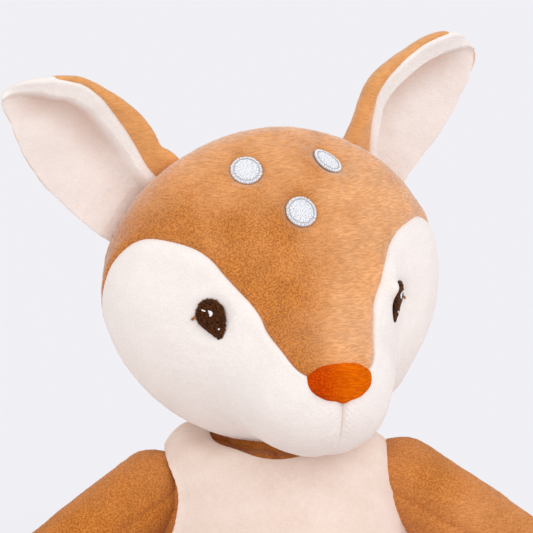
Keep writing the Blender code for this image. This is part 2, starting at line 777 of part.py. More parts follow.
def build_vest(shop, rows, sockets):
    origin = Matrix()
    inside = shop.add("vest_inside", swelled_mesh("vest_inside", rows, TORSO_SEGMENTS, GAP), origin)
    wide = OVERRUN * 4
    low = box_mesh("vest_hem_cut", (-wide, -wide, -wide), (wide, wide, VEST_HEM_HEIGHT))
    hem = shop.add("vest_hem_cut", low, origin)
    holes = []
    for side, sign in SIDES:
        middle = (sign * (ARMHOLE_INNER + ARM_PIVOT[0] / 2), ARM_PIVOT[1], ARM_PIVOT[2])
        across = Matrix.Translation(middle) @ Matrix.Rotation(math.pi / 2, 4, "Y")
        hole = cylinder_mesh("armhole_" + side, ARMHOLE_HALF_HEIGHT, ARM_PIVOT[0])
        hole.transform(Matrix.Diagonal((1.0, ARMHOLE_HALF_DEPTH / ARMHOLE_HALF_HEIGHT, 1.0, 1.0)))
        holes.append(shop.add("armhole_" + side, hole, across))
    for name, sign in (("vest_front", -1), ("vest_back", 1)):
        near, far = sorted((sign * GAP / 2, sign * wide))
        half = box_mesh(name + "_region", (-wide, near, -wide), (wide, far, wide))
        region = shop.add(name + "_region", half, origin)
        ring = cylinder_mesh(name + "_neckline", NECKLINE_HALF_WIDTH, OVERRUN, TORSO_SEGMENTS)
        ring.transform(Matrix.Diagonal((1.0, NECKLINE_HALF_DEPTHS[name] / NECKLINE_HALF_WIDTH, 1.0, 1.0)))
        neck = shop.add(name + "_neckline", ring, Matrix.Translation((0.0, 0.0, TORSO_HEIGHT)))
        cloth = swelled_mesh(name, rows, TORSO_SEGMENTS, GAP + VEST_CLOTH)
        panel = shop.add(name, cloth, origin, VEST_PINK)
        boolean(panel, region, "INTERSECT")
        boolean(panel, inside)
        boolean(panel, hem)
        boolean(panel, neck)
        for cutter in holes + sockets:
            boolean(panel, cutter)


def main():
    clear_scene()
    shop = Workshop()
    head = build_head(shop)
    build_features(head)
    build_ears(shop, head)
    build_neck(shop)
    sockets = build_limbs(shop)
    sockets.append(build_tail(shop))
    rows = build_torso(shop, sockets)
    build_vest(shop, rows, sockets)


main()
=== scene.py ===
import math

import bmesh
import bpy
import numpy as np
from mathutils import Matrix, Vector


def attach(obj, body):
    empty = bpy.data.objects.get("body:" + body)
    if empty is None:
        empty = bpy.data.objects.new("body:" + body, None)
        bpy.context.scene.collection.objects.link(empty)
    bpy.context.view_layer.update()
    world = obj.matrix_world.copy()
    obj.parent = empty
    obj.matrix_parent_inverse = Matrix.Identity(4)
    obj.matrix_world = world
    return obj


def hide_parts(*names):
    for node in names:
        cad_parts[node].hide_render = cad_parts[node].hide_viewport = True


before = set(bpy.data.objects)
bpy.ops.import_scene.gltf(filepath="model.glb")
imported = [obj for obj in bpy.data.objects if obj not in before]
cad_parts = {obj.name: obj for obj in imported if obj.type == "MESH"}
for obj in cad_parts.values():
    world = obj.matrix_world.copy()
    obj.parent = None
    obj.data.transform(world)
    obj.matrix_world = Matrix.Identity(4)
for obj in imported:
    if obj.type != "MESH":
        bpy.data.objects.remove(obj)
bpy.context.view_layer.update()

# Sizes, in metres. Head points are (side, forward, up) from the middle of the head
HEAD_HEIGHT = 0.164
HEAD_TURN = math.radians(20.9)
HEAD_NOD = math.radians(1.3)
# Further than any way from inside the head to its surface
HEAD_REACH = 0.13
# The head's three balls: the middle as (forward, up), and the three half sizes
HEAD_BALLS = (
    ((-0.0060, 0.0040), (0.0457, 0.0389, 0.0362)),
    ((0.0060, 0.0064), (0.0389, 0.0153, 0.0391)),
    ((0.0400, -0.0240), (0.0205, 0.0170, 0.0171)),
)
BALL_BLEND = 0.010
# Half the step over which the slope of the head's distance is taken
SLOPE_STEP = 0.0002
SKIN = 0.0021
WELD = 0.000002
TORSO_HEIGHT = 0.1180
TORSO_HALF_WIDTH = 0.045
TORSO_HALF_DEPTH = 0.037
SHOULDER = (0.0390, 0.0, 0.1035)
SIDES = (("left", 1), ("right", -1))
MIRROR = np.array([-1.0, 1.0, 1.0])


# Mesh making


def add_object(name, data):
    """A new object in the scene that shows the data."""
    ob = bpy.data.objects.new(name, data)
    bpy.context.scene.collection.objects.link(ob)
    return ob


def mesh_piece(name, points, faces, attributes=None, uv=None, weld=False):
    """A mesh object from vertex places and rows of four corner numbers, all faces smooth."""
    points = np.asarray(points, np.float32).reshape(-1, 3)
    mesh = bpy.data.meshes.new(name)
    mesh.vertices.add(len(points))
    mesh.vertices.foreach_set("co", points.ravel())
    mesh.loops.add(faces.size)
    mesh.loops.foreach_set("vertex_index", faces.astype(np.int32).ravel())
    mesh.polygons.add(len(faces))
    mesh.polygons.foreach_set("loop_start", np.arange(len(faces), dtype=np.int32) * faces.shape[1])
    mesh.polygons.foreach_set("use_smooth", np.ones(len(faces), bool))
    for key, values in (attributes or {}).items():
        layer = mesh.attributes.new(key, "FLOAT", "POINT")
        layer.data.foreach_set("value", np.asarray(values, np.float32).ravel())
    if uv is not None:
        layer = mesh.uv_layers.new(name="cloth")
        layer.data.foreach_set("uv", np.asarray(uv, np.float32).reshape(-1, 2)[faces.ravel()].ravel())
    mesh.update()
    if weld:
        bm = bmesh.new()
        bm.from_mesh(mesh)
        bmesh.ops.remove_doubles(bm, verts=bm.verts, dist=WELD)
        bm.to_mesh(mesh)
        bm.free()
    return add_object(name, mesh)


def grid_piece(name, points, outward, attributes=None, uv=None, weld=True):
    """A sheet over a grid of points, rows by columns, with outward directions at them. The faces are all
    turned over if most look the other way."""
    rows, columns = points.shape[:2]
    n = np.arange(rows * columns).reshape(rows, columns)
    faces = np.stack([n[:-1, :-1], n[:-1, 1:], n[1:, 1:], n[1:, :-1]], axis=-1).reshape(-1, 4)
    a, b, c = (points.reshape(-1, 3)[faces[:, i]] for i in (0, 1, 2))
    if np.sum(np.cross(b - a, c - a) * outward.reshape(-1, 3)[faces[:, 0]]) < 0:
        faces = faces[:, ::-1]
    return mesh_piece(name, points, faces, attributes, uv, weld)


# Noise


def cell_number(cells, seed):
    """A repeatable number from 0 to 1 for each whole-number cell, from mixing its three numbers."""
    n = cells[..., 0] * 73856093 ^ cells[..., 1] * 19349663 ^ cells[..., 2] * 83492791 ^ seed * 2654435761
    n = n & 0xFFFFFFFF
    for _ in range(2):
        n = ((n ^ (n >> 16)) * 0x45D9F3B) & 0xFFFFFFFF
    return (n ^ (n >> 16)) / 0xFFFFFFFF


def lumps(points, size, seed):
    """Smooth noise from -1 to 1: the numbers at a cell's eight corners, eased between them."""
    place = np.asarray(points) / size + 1000.0
    base = np.floor(place)
    t = place - base
    t = t * t * (3.0 - 2.0 * t)
    base = base.astype(np.int64)
    total = np.zeros(place.shape[:-1])
    for corner in range(8):
        step = np.array([corner & 1, corner >> 1 & 1, corner >> 2 & 1])
        weight = np.prod(np.where(step, t, 1.0 - t), axis=-1)
        total += weight * cell_number(base + step, seed)
    return total * 2.0 - 1.0


def pile(points, lump=0.00022, clump=0.00012, tuft=0.00009):
    """How far the pile stands out of the cloth: wide lumps of the filling, clumps and single tufts."""
    return (
        lump * lumps(points, 0.0110, 3)
        + clump * lumps(points, 0.0032, 5)
        + tuft * lumps(points, 0.0013, 7)
        + tuft * 0.7 * lumps(points, 0.0007, 9)
    )

# Vectors, curves and steps


def vectors(*columns):
    """Vectors from their columns, each a number or an array, spread over one grid."""
    return np.stack(np.broadcast_arrays(*columns), axis=-1)


def placed(points, matrix):
    """Points of a matrix's own axes, in the axes that it is given in."""
    return points @ matrix[:3, :3].T + matrix[:3, 3]


def size_of(v):
    """The length of each vector."""
    return np.linalg.norm(v, axis=-1)


def unit(v, least=0.0):
    """Each vector over its length, or over the least length where it is shorter."""
    return v / np.maximum(np.linalg.norm(v, axis=-1, keepdims=True), least)


def eased(t):
    """0 up to 0, 1 from 1, and a smooth rise between."""
    t = np.clip(t, 0.0, 1.0)
    return t * t * (3.0 - 2.0 * t)


def bell(distance, width):
    """1 at no distance, falling smoothly through about a third at the width to nothing."""
    return np.exp(-((distance / width) ** 2))


def running_length(points, axis):
    """Length along each grid line of the axis, from its first point."""
    step = size_of(np.diff(points, axis=axis))
    zero = np.zeros_like(np.take(step, [0], axis=axis))
    return np.concatenate([zero, np.cumsum(step, axis=axis)], axis=axis)


def from_ends(points):
    """Length along each row to the nearer of its two ends."""
    run = running_length(points, 1)
    return np.minimum(run, run[:, -1:] - run)


def through(table, count, closed=False):
    """count rows along a Catmull-Rom curve through the table's rows, evenly by its length in all columns."""
    p = np.asarray(table, float)
    if closed:
        p = np.concatenate([p[-1:], p, p[:2]])
    else:
        p = np.concatenate([2 * p[:1] - p[1:2], p, 2 * p[-1:] - p[-2:-1]])
    spans, steps = len(p) - 3, 24
    t = np.linspace(0.0, spans, spans * steps + 1)
    i = np.minimum(t.astype(int), spans - 1)
    s = (t - i)[:, None]
    a, b, c, d = p[i], p[i + 1], p[i + 2], p[i + 3]
    fine = 0.5 * (2 * b + (c - a) * s + (2 * a - 5 * b + 4 * c - d) * s**2 + (3 * b - a - 3 * c + d) * s**3)
    run = running_length(fine, 0)
    want = np.linspace(0.0, run[-1], count)
    return np.stack([np.interp(want, run, fine[:, k]) for k in range(fine.shape[1])], axis=1)


def swung(a, b, t):
    """Unit directions turned evenly from a to b by the share t."""
    angle = np.arccos(np.clip(np.sum(a * b, axis=-1, keepdims=True), -1.0, 1.0))
    return (np.sin((1 - t) * angle) * a + np.sin(t * angle) * b) / np.sin(angle)


# The head


def head_distance(points):
    """Distance to the three balls run softly together, negative inside."""
    total = 0.0
    for (forward, up), half in HEAD_BALLS:
        scaled = (points - np.array([0.0, forward, up])) / np.array(half)
        total = total + np.exp(-(size_of(scaled) - 1.0) * min(half) / BALL_BLEND)
    return -BALL_BLEND * np.log(total)


def head_normals(points):
    """The slope of the head's distance along each axis, made unit long."""
    steps = SLOPE_STEP * np.eye(3)
    slope = [head_distance(points + step) - head_distance(points - step) for step in steps]
    return unit(vectors(*slope))


def meet_head(start, direction):
    """Where rays from inside the head come out of it, by halving the span that holds the surface."""
    low = np.zeros(np.broadcast(start[..., 0], direction[..., 0]).shape)
    high = np.full(low.shape, HEAD_REACH)
    for _ in range(24):
        middle = (low + high) / 2
        outside = head_distance(start + direction * middle[..., None]) > 0.0
        high = np.where(outside, middle, high)
        low = np.where(outside, low, middle)
    return start + direction * low[..., None]


# From the head's own axes to the world
TURNED = Matrix.Rotation(HEAD_TURN, 4, "Z") @ Matrix.Rotation(HEAD_NOD, 4, "X")
HEAD = np.array(Matrix.Translation((0.0, 0.0, HEAD_HEIGHT)) @ TURNED)


def to_world(points):
    """Head points (side, forward, up) in the world."""
    return placed(points * np.array([1.0, -1.0, 1.0]), HEAD)


def head_piece(name, points, node, finish, nap_and_painted_light=None):
    """A sheet over a grid of head points, its faces turned away from the middle of the head."""
    world = to_world(points)
    piece = grid_piece(name, world, world - HEAD[:3, 3], {} if nap_and_painted_light is None else {"nap_and_painted_light": nap_and_painted_light})
    finish_piece(piece, "head", node, finish)


def fan(core, edge, far, columns):
    """Rows over the head. Each turns evenly about its core from the edge's point to the far point."""
    a, b = unit(edge - core), unit(far - core)
    way = swung(a[:, None], b[:, None], np.linspace(0.0, 1.0, columns)[None, :, None])
    return meet_head(core[:, None] + np.zeros_like(way), way)


# Stations of the sewn edge between crown and cheek: forward, up, then for the crown's row the slope
# of its plane in degrees and the depth of its core, all lengths in millimetres
EDGE_TABLE = (
    (55.0, -15.8, 10, 14),
    (52.5, -13.9, 18, 14),
    (47.5, -9.6, 28, 16),
    (40.5, -4.2, 31, 18),
    (37.2, 0.4, 33, 20),
    (34.3, 5.8, 36, 21),
    (31.1, 12.2, 42, 22),
    (27.6, 18.0, 50, 23),
    (23.2, 21.7, 58, 23),
    (16.5, 23.6, 66, 22),
    (11.5, 22.2, 72, 19),
    (6.2, 17.2, 78, 13),
    (1.5, 10.5, 82, 6),
    (-4.0, 0.0, 87, -5),
    (-8.5, -13.5, 90, -17),
)
# The cheek's rows, by the same stations and one more behind: core forward, core up, slope to the lower middle
CHEEK_TABLE = (
    (42, -25, 7),
    (42, -25, -12),
    (41, -25, -38),
    (38, -24, -60),
    (34, -22, -75),
    (30, -19, -84),
    (25, -15, -88),
    (19, -10, -89),
    (14, -6, -90),
    (9, -3, -91),
    (5, -1, -92),
    (2, 0, -93),
    (0, 0, -94),
    (-1, -2, -97),
    (-3, -5, -102),
    (-5, -8, -110),
)
LAST_EDGE = (-13.5, -31.0)
DOT_SPOTS = {
    "centre": (0.0, 0.0289, 0.0302),
    "left": (0.0133, 0.0178, 0.0430),
    "right": (-0.0136, 0.0188, 0.0426),
}
DOT_RADIUS = 0.0049
EYE_SPOTS = {sign: (sign * 0.0308, 0.0305, 0.0002) for _, sign in SIDES}
# How far the edge leans off its table near the eye on each side, at which height and how widely, in
# millimetres
EDGE_LEAN = {1: (-0.70, -5.0, 6.0), -1: (0.45, 3.0, 7.0)}


def midline(forward, up):
    """Places or directions in the plane that halves the head."""
    return vectors(0.0, forward, up)


def edge_points(forward, up, sign):
    """The sewn edge, on the left: (forward, up) moved across the edge by a bell-shaped lean over its
    height, then out to where a line from side to side leaves the head."""
    lean, middle, width = 0.001 * np.array(EDGE_LEAN[sign])
    lean = lean * bell(up - middle, width)
    return meet_head(midline(forward + 0.8 * lean, up + 0.6 * lean), np.array([1.0, 0.0, 0.0]))


def on_head(spot):
    """A spot's own place on the head, with its outward, across and upward directions."""
    place = meet_head(np.zeros(3), unit(np.array(spot)))
    normal = head_normals(place)
    across = unit(np.cross(normal, np.array([0.0, 0.0, 1.0])))
    return place, normal, across, np.cross(across, normal)


# On each side, how far the eye's rear and its lower end are pressed in at the tilt's reach, and how far
# the cloth before it swells out
EYE_TILT = {1: 0.0027, -1: 0.0006}
EYE_DROOP = {1: 0.0011, -1: 0.0}
EYE_SWELL = {1: 0.0026, -1: 0.0}
DOT_TILT = 0.0023
DOT_TILT_WAY = (0.70, -0.56, 0.44)
TILT_REACH = 0.005
DOT_HOLLOW = 0.0012
EYE_HOLLOW = 0.0010
EYE_BASIN = 0.0008
# Where the stuffing lies unevenly on the left: place in head axes, how far drawn in, and radius
UNEVEN = (
    ((0.0216, 0.0444, -0.0272), 0.0012, 0.0070),
    ((0.0350, 0.0125, -0.0290), -0.0012, 0.0075),
)


def eye_tilt(points):
    """How far each socket is pressed in: a slope over a round spot at the eye, deeper at the rear and the
    lower end, and a slope in a direction of its own under the left dot."""
    depth = np.zeros(points.shape[:-1])
    for _, sign in SIDES:
        place, _, across, up = on_head(EYE_SPOTS[sign])
        away = points - place
        slope = EYE_TILT[sign] * (away @ across * sign) - EYE_DROOP[sign] * (away @ up)
        depth += slope / TILT_REACH * bell(size_of(away), 0.0085)
    away = points - on_head(DOT_SPOTS["left"])[0]
    slope = DOT_TILT * (away @ unit(np.array(DOT_TILT_WAY)))
    return depth + slope / TILT_REACH * bell(size_of(away), 0.0080)


def sunken(points):
    """How far the embroidery draws the cloth in: hollows round the dots and the eyes, less a swell before
    and above each eye, and bell-shaped spots of uneven stuffing."""
    depth = eye_tilt(points)
    for place, drawn, radius in UNEVEN:
        depth += drawn * bell(size_of(points - np.array(place)), radius)
    for spot in DOT_SPOTS.values():
        away = size_of(points - on_head(spot)[0])
        depth += DOT_HOLLOW * eased((DOT_RADIUS + 0.0022 - away) / 0.0026)
    for _, sign in SIDES:
        place, _, across, up = on_head(EYE_SPOTS[sign])
        away = points - place
        aside = np.hypot(away @ across * sign + 0.0052, away @ up - 0.0046)
        depth -= EYE_SWELL[sign] * bell(aside, 0.0028)
        away = size_of(away / np.array([1.0, 1.0, 1.15]))
        depth += EYE_HOLLOW * eased((0.0078 - away) / 0.0040) + EYE_BASIN * bell(away, 0.0110)
    return depth


def groove(distance, depth=0.0009, width=0.0010):
    """The dip of a seam in pile, with a slight swell beyond it."""
    return -depth * np.exp(-distance / width) + 0.00025 * bell(distance - 0.0045, 0.003)


def mouth_puckers(points):
    """The seam down from the nose: a crease that fades downwards, and faint folds that fan out of it."""
    side, up = np.abs(points[..., 0]), points[..., 2]
    along = eased((up + 0.0400) / 0.0120) * eased((-0.0195 - up) / 0.003)
    crease = -0.0013 * np.exp(-side / 0.0009) * along
    near = bell(side, 0.0050) * along * np.clip(side / 0.001, 0, 1)
    turned = (up + side * 0.8 + 0.0006 * lumps(points, 0.0022, 15)) / 0.00028
    return crease + 0.00005 * np.sin(turned) * near


def crown_points():
    """The crown's grid, from the nose back to the seam behind the ears, left to right. Each row is a fan
    in its station's sloping plane, from the left edge over the middle to the right edge."""
    table = through(EDGE_TABLE, 300)
    forward, up, depth = table[:, [0, 1, 3]].T / 1000
    slope = np.radians(table[:, 2])
    way = midline(np.cos(slope), np.sin(slope))
    core = midline(forward, up) - way * depth[:, None]
    left, right = (fan(core, edge_points(forward, up, sign), core + way, 110) for _, sign in SIDES)
    return np.concatenate([left, right[:, -2::-1] * MIRROR], axis=1)


def cheek_points(sign):
    """A cheek's grid, on the left, from the crown's seam down to the lower middle, nose to neck."""
    edges = EDGE_TABLE + (LAST_EDGE,)
    table = through([edge[:2] + row for edge, row in zip(edges, CHEEK_TABLE)], 260)
    forward, up, core_forward, core_up = table[:, :4].T / 1000
    slope = np.radians(table[:, 4])
    core = midline(core_forward, core_up)
    low = meet_head(core, midline(np.cos(slope), np.sin(slope)))
    return fan(core, edge_points(forward, up, sign), low, 170)


def back_points(crown, cheek):
    """The back panel's grid, from a pole at the back of the head out to the seam that bounds it."""
    start = int(np.argmin(size_of(cheek[:, 0] - crown[-1, 0])))
    side, low = cheek[start:, 0], cheek[-1]
    rim = unit(np.concatenate([crown[-1], side * MIRROR, low * MIRROR, low[::-1], side[::-1]]))
    apart = np.concatenate([[True], size_of(np.diff(rim, axis=0)) > 1e-5])
    way = unit(through(rim[apart][::4], 360, closed=True))
    pole = unit(np.array([0.0, -1.0, 0.12]))
    rays = swung(pole, way, np.linspace(0.0, 1.0, 110)[:, None, None])
    return meet_head(np.zeros_like(rays), rays)


def nap_and_light_share(points):
    """Where the pile lies over sideways and where light is painted on, from 0 to 1: the left of the forehead
    and the muzzle's ridge, partly lying pile and partly painted light from the key light on that side, a
    painted lighter band over the top of the head, and random patches.
    """
    side, forward, up = points[..., 0], points[..., 1], points[..., 2]
    share = eased((side + 0.006 + 0.35 * (forward - 0.03)) / 0.020)
    share = np.maximum(share, eased((up - 0.022) / 0.026) * 0.80)
    return np.clip(share + 0.25 * lumps(points, 0.007, 21), 0.0, 1.0)


def raised(points, height):
    """Head points moved out along the head's normals."""
    return points + head_normals(points) * height[..., None]


def plush_head():
    """The four sewn panels, each a grid on the head raised by its pile, dipped along its seams and drawn
    in by the embroidery, and the filling under them, one skin in."""
    crown = crown_points()
    behind = running_length(crown, 0)
    height = pile(crown) + groove(from_ends(crown)) + groove(behind[-1:] - behind) - sunken(crown)
    head_piece("crown_plush", raised(crown, height), "crown_panel", "caramel", nap_and_light_share(crown))

    for label, sign in SIDES:
        cheek = cheek_points(sign) * np.array([sign, 1.0, 1.0])
        from_edge = running_length(cheek, 1)
        seams = groove(from_edge) + groove(from_edge[:, -1:] - from_edge, 0.0002, 0.0008)
        height = pile(cheek, 0.00022, 0.00008, 0.00005) + seams + mouth_puckers(cheek) - sunken(cheek)
        points = raised(cheek, height)
        head_piece("cheek_plush_" + label, points, "face_panel_" + label, "cream", 0 * from_edge)

    back = back_points(crown, cheek_points(1))
    inward = running_length(back, 0)
    height = pile(back) + groove(inward[-1:] - inward)
    head_piece("back_head_plush", raised(back, height), "back_head_panel", "caramel", nap_and_light_share(back))

    polar = np.linspace(0.0, math.pi, 60)[:, None]
    turn = np.linspace(0.0, math.tau, 97)[None, :]
    way = vectors(np.sin(polar) * np.cos(turn), np.sin(polar) * np.sin(turn), np.cos(polar))
    inner = meet_head(np.zeros_like(way), way)
    inner = raised(inner, -SKIN - np.maximum(sunken(inner), 0.0))
    head_piece("head_fibre", inner, "head_filling", "fibre")


# Stitches

# How far the tone steps from one thread to the next, so that neighbours differ
TONE_STEP = 0.618
# How many stitches the ring has, its inner edge as a share of the outline, then how far out the stitches
# inside it reach as such a share, and their slant
DOT_RING, DOT_RING_INNER, DOT_FILL_REACH, DOT_FILL_SLANT = 62, 0.82, 0.74, math.radians(28)
EYE_RING, EYE_RING_INNER, EYE_FILL_REACH, EYE_FILL_SLANT = 70, 0.72, 0.82, -math.radians(52)


def stitches(name, starts, ends, normals, radius, arch):
    """Threads as slim tubes of one size: each runs from its start to its end in a low arch, six-sided,
    its section drawn in at both ends."""
    along = ends - starts
    t = np.linspace(0.0, 1.0, 6)
    lift = arch * 4 * t * (1 - t)
    centre = starts[:, None] + along[:, None] * t[:, None] + normals[:, None] * lift[:, None]
    side = unit(np.cross(along, normals))
    up = unit(np.cross(side, along))
    slim = radius * np.sqrt(np.clip(1 - (2 * t - 1) ** 6, 0.02, 1.0))
    turn = np.linspace(0.0, math.tau, 7)[:-1, None]
    ring = np.cos(turn) * side[:, None] + np.sin(turn) * up[:, None]
    points = centre[:, :, None] + ring[:, None] * slim[:, None, None]
    count, steps, sides = points.shape[:3]
    base = np.arange(count * steps * sides).reshape(count, steps, sides)
    nxt = np.roll(base, -1, axis=2)
    faces = [np.stack([base[:, :-1], nxt[:, :-1], nxt[:, 1:], base[:, 1:]], axis=-1).reshape(-1, 4)]
    for end, corners in ((0, (3, 2, 1, 0)), (0, (0, 5, 4, 3)), (-1, (0, 1, 2, 3)), (-1, (3, 4, 5, 0))):
        faces.append(base[:, end][:, corners])
    thread = np.repeat((np.arange(count) * TONE_STEP) % 1.0, steps * sides)
    return mesh_piece(name, points, np.concatenate(faces), {"thread": thread})


def patch_surface(spot, flat, lift):
    """Flat (across, up) places near a spot, laid on the head and lifted off it, and the normals there."""
    place, _, across, up = on_head(spot)
    points = place + flat[..., :1] * across + flat[..., 1:] * up
    points = meet_head(np.zeros_like(points), unit(points))
    normal = head_normals(points)
    return points + normal * (lift - eye_tilt(points))[..., None], normal


def sew(name, spot, starts, ends, levels, radius, arch, thread):
    """Stitches on the head near a spot, from flat starts to flat ends, at a level for each."""
    a, normals = patch_surface(spot, starts, levels[0])
    b, _ = patch_surface(spot, ends, levels[1])
    out = to_world(a + normals) - to_world(a)
    finish_piece(stitches(name, to_world(a), to_world(b), out, radius, arch), "head", None, thread)


def patch(spot, outline, lift_of, columns=48, rows=14):
    """A domed patch: rings shrunk from the outline to its middle, on the head, lifted by lift_of(share)."""
    middle = outline.mean(axis=0)
    share = np.linspace(1.0, 0.0, rows)[:, None, None]
    flat = middle + (through(outline, columns + 1, closed=True) - middle) * share
    return patch_surface(spot, flat, lift_of(share[..., 0]))[0], flat


def inside_outline(points, outline):
    """True for the flat places inside a closed outline, by counting its crossings."""
    x, y = points[:, 0:1], points[:, 1:2]
    a, b = outline, np.roll(outline, -1, axis=0)
    cross = (a[:, 1] > y) != (b[:, 1] > y)
    run = np.where(b[:, 1] == a[:, 1], 1e-9, b[:, 1] - a[:, 1])
    hit = a[:, 0] + (y - a[:, 1]) * (b[:, 0] - a[:, 0]) / run
    return (np.sum(cross & (x < hit), axis=1) % 2) == 1


def facing(turn):
    """The flat direction at each turn, counted from across towards up."""
    return vectors(np.cos(turn), np.sin(turn))


def lattice(columns, wide, rows, high):
    """Flat places in rows and columns round the middle, with so many columns and rows each way."""
    return vectors(np.arange(-columns, columns + 1) * wide, np.arange(-rows, rows + 1)[:, None] * high)


def embroidered_dots():
    """Each dot: a domed ground, a ring of short stitches across its edge, and slanting stitches inside in
    rows, every other row set off by half a column."""
    rng = np.random.default_rng(11)
    count = DOT_RING
    for label, spot in DOT_SPOTS.items():
        outline = DOT_RADIUS * facing(np.linspace(0, math.tau, 33)[:-1])
        points, _ = patch(spot, outline, lambda share: -0.00075 + 0.0003 * (1 - share**2))
        # The ground is painted grey: painted shade that shows between the white stitches
        head_piece("dot_ground_" + label, points, "dot_" + label, "dot_ground")

        turn = np.linspace(0, math.tau, count + 1)[:-1] + rng.normal(0, 0.012, count)
        outer = DOT_RADIUS * (1.0 + rng.normal(0, 0.012, count))[:, None] * facing(turn)
        inner = outer * (DOT_RING_INNER + rng.normal(0, 0.010, count))[:, None]
        middles = lattice(7, 0.00062, 14, 0.00028)
        middles[1::2, :, 0] += 0.00031
        middles = middles.reshape(-1, 2)
        middles = middles + rng.normal(0, 0.00007, middles.shape)
        middles = middles[np.hypot(*middles.T) < DOT_RADIUS * DOT_FILL_REACH]
        reach = 0.00036 * facing(DOT_FILL_SLANT + rng.normal(0, 0.22, len(middles)))
        starts, ends = np.concatenate([outer, middles - reach]), np.concatenate([inner, middles + reach])
        ring = np.arange(len(starts)) < count
        levels = np.where(ring, -0.00055, -0.00045), np.where(ring, -0.00042, -0.00066)
        sew("dot_thread_" + label, spot, starts, ends, levels, 0.00018, 0.00014, "white_thread")


EYE_OUTLINE = 0.001 * np.array([
    (-4.95, 0.5), (-4.6, 2.9), (-3.1, 5.2), (-0.6, 6.1), (2.0, 5.3), (3.9, 3.2),
    (4.5, 0.4), (4.4, -2.6), (3.6, -5.2), (2.3, -6.2), (0.6, -5.5), (-1.6, -3.9), (-3.9, -1.9),
])
# The stitches of the white glints and of the lash, from (across, up) to (across, up) in millimetres
GLINTS = (
    (-0.9, 2.45, 0.5, 1.95), (-0.75, 2.05, 0.65, 1.65), (-0.7, 1.7, 0.7, 1.5), (-0.5, 1.35, 0.5, 1.1),
    (-0.45, 1.0, 0.15, 0.8), (-2.9, 2.7, -1.5, 2.2), (2.1, -3.2, 2.7, -2.9),
)
LASHES = ((-4.6, 0.9, -6.3, -0.5), (-4.5, 0.5, -5.9, -0.7))
LASH_TIP_LEVEL = {1: -0.0005, -1: -0.0001}


def embroidered_eyes():
    """Each eye: a dark ground, a ring of satin stitches, a dense fill of slanting ones, white glints and
    a lash. Outlines are for the right eye and are mirrored for the left."""
    for label, sign in SIDES:
        rng = np.random.default_rng(5)
        flip = np.array([-sign, 1.0])
        spot = EYE_SPOTS[sign]
        outline = through(EYE_OUTLINE, 120, closed=True)[:-1]
        points, _ = patch(spot, outline * flip, lambda share: -0.0019 + 0.0011 * (1 - share**3))
        head_piece("eye_ground_" + label, points, "eye_" + label, "eye_ground")

        middle = outline.mean(axis=0)
        ring = through(EYE_OUTLINE, EYE_RING + 1, closed=True)[:-1]
        step = np.roll(ring, -1, axis=0) - np.roll(ring, 1, axis=0)
        share = EYE_RING_INNER + rng.normal(0, 0.03, EYE_RING)
        inner = middle + (ring - middle) * share[:, None] + step * 0.25
        outer = middle + (ring - middle) * (1.03 + rng.normal(0, 0.025, EYE_RING))[:, None]
        way = facing(EYE_FILL_SLANT)
        across = np.array([-way[1], way[0]])
        grid = lattice(10, 0.00062, 16, 0.00036).reshape(-1, 2)
        spots = middle + grid[:, :1] * way + grid[:, 1:] * across + rng.normal(0, 0.00012, grid.shape)
        spots = spots[inside_outline(spots, middle + (outline - middle) * EYE_FILL_REACH)]
        length = 0.0007 + 0.0004 * rng.random(len(spots))
        half = (way + rng.normal(0, 0.28, spots.shape)) * length[:, None] / 2
        starts = np.concatenate([outer, spots - half]) * flip
        ends = np.concatenate([inner, spots + half]) * flip
        level = np.where(np.arange(len(starts)) < len(ring), -0.00105, -0.00075)
        levels = level, level + 0.0001
        sew("eye_thread_" + label, spot, starts, ends, levels, 0.00022, 0.00028, "brown_thread")

        for name, table, levels, radius, arch, thread in (
            ("eye_glint_", GLINTS, (-0.00028, -0.00028), 0.00025, 0.00022, "white_thread"),
            ("eye_lash_", LASHES, (-0.0009, LASH_TIP_LEVEL[sign]), 0.00022, 0.0004, "lash_thread"),
        ):
            flat = 0.001 * np.array(table)
            sew(name + label, spot, flat[:, :2] * flip, flat[:, 2:] * flip, levels, radius, arch, thread)


NOSE_OUTLINE = 0.001 * np.array([
    (-10.9, 0.4), (-10.3, 2.4), (-6.9, 4.8), (-3.4, 5.7), (0.0, 5.9), (3.4, 5.7), (6.9, 4.8), (10.3, 2.4),
    (10.9, 0.4), (10.2, -1.8), (8.8, -3.3), (5.6, -5.0), (2.4, -5.6), (0.0, -6.4), (-2.4, -5.6), (-5.6, -5.0),
    (-8.8, -3.3), (-10.2, -1.8),
])
NOSE_SPOT = (0.0, 0.0558, -0.0176)


def plush_nose():
    """A puffed patch of pile brushed sideways in thin ridges, its edge tucked into the seam round it."""
    def lift(share):
        return -0.0009 + 0.0031 * np.sqrt(np.clip(1 - share**4, 0, 1))

    points, flat = patch(NOSE_SPOT, NOSE_OUTLINE, lift, columns=260, rows=60)
    inward = np.linspace(0.0, 1.0, len(points))[:, None]
    ridge = np.sin((flat[..., 1] + 0.0010 * lumps(points, 0.0045, 31)) / 0.00019)
    height = 0.00010 * (ridge + lumps(points, 0.0016, 33)) * eased(inward / 0.15)
    points = points + on_head(NOSE_SPOT)[1] * height[..., None]
    # The nap share is painted light: the rust is mixed lighter towards the deer's left, where the key light
    # falls
    head_piece("nose_plush", points, "nose_patch", "rust", eased((flat[..., 0] + 0.0075) / 0.010))


# Ears


EAR_ROOT_LIFT = 0.0034
EAR_CUP = 0.0050
EAR_BOW = 0.0030
EAR_TIP_LEAN = 0.0010
EAR_RIM = 0.0040
EAR_SPOTS = {"left": (0.0359, -0.0087, 0.0351), "right": (0.0410, -0.0079, 0.0309)}
EAR_AXES = {"left": (0.70, -0.02, 0.71), "right": (0.74, 0.03, 0.68)}
EAR_ACROSS = {"left": (0.68, -0.28, -0.68), "right": (0.67, -0.14, -0.73)}
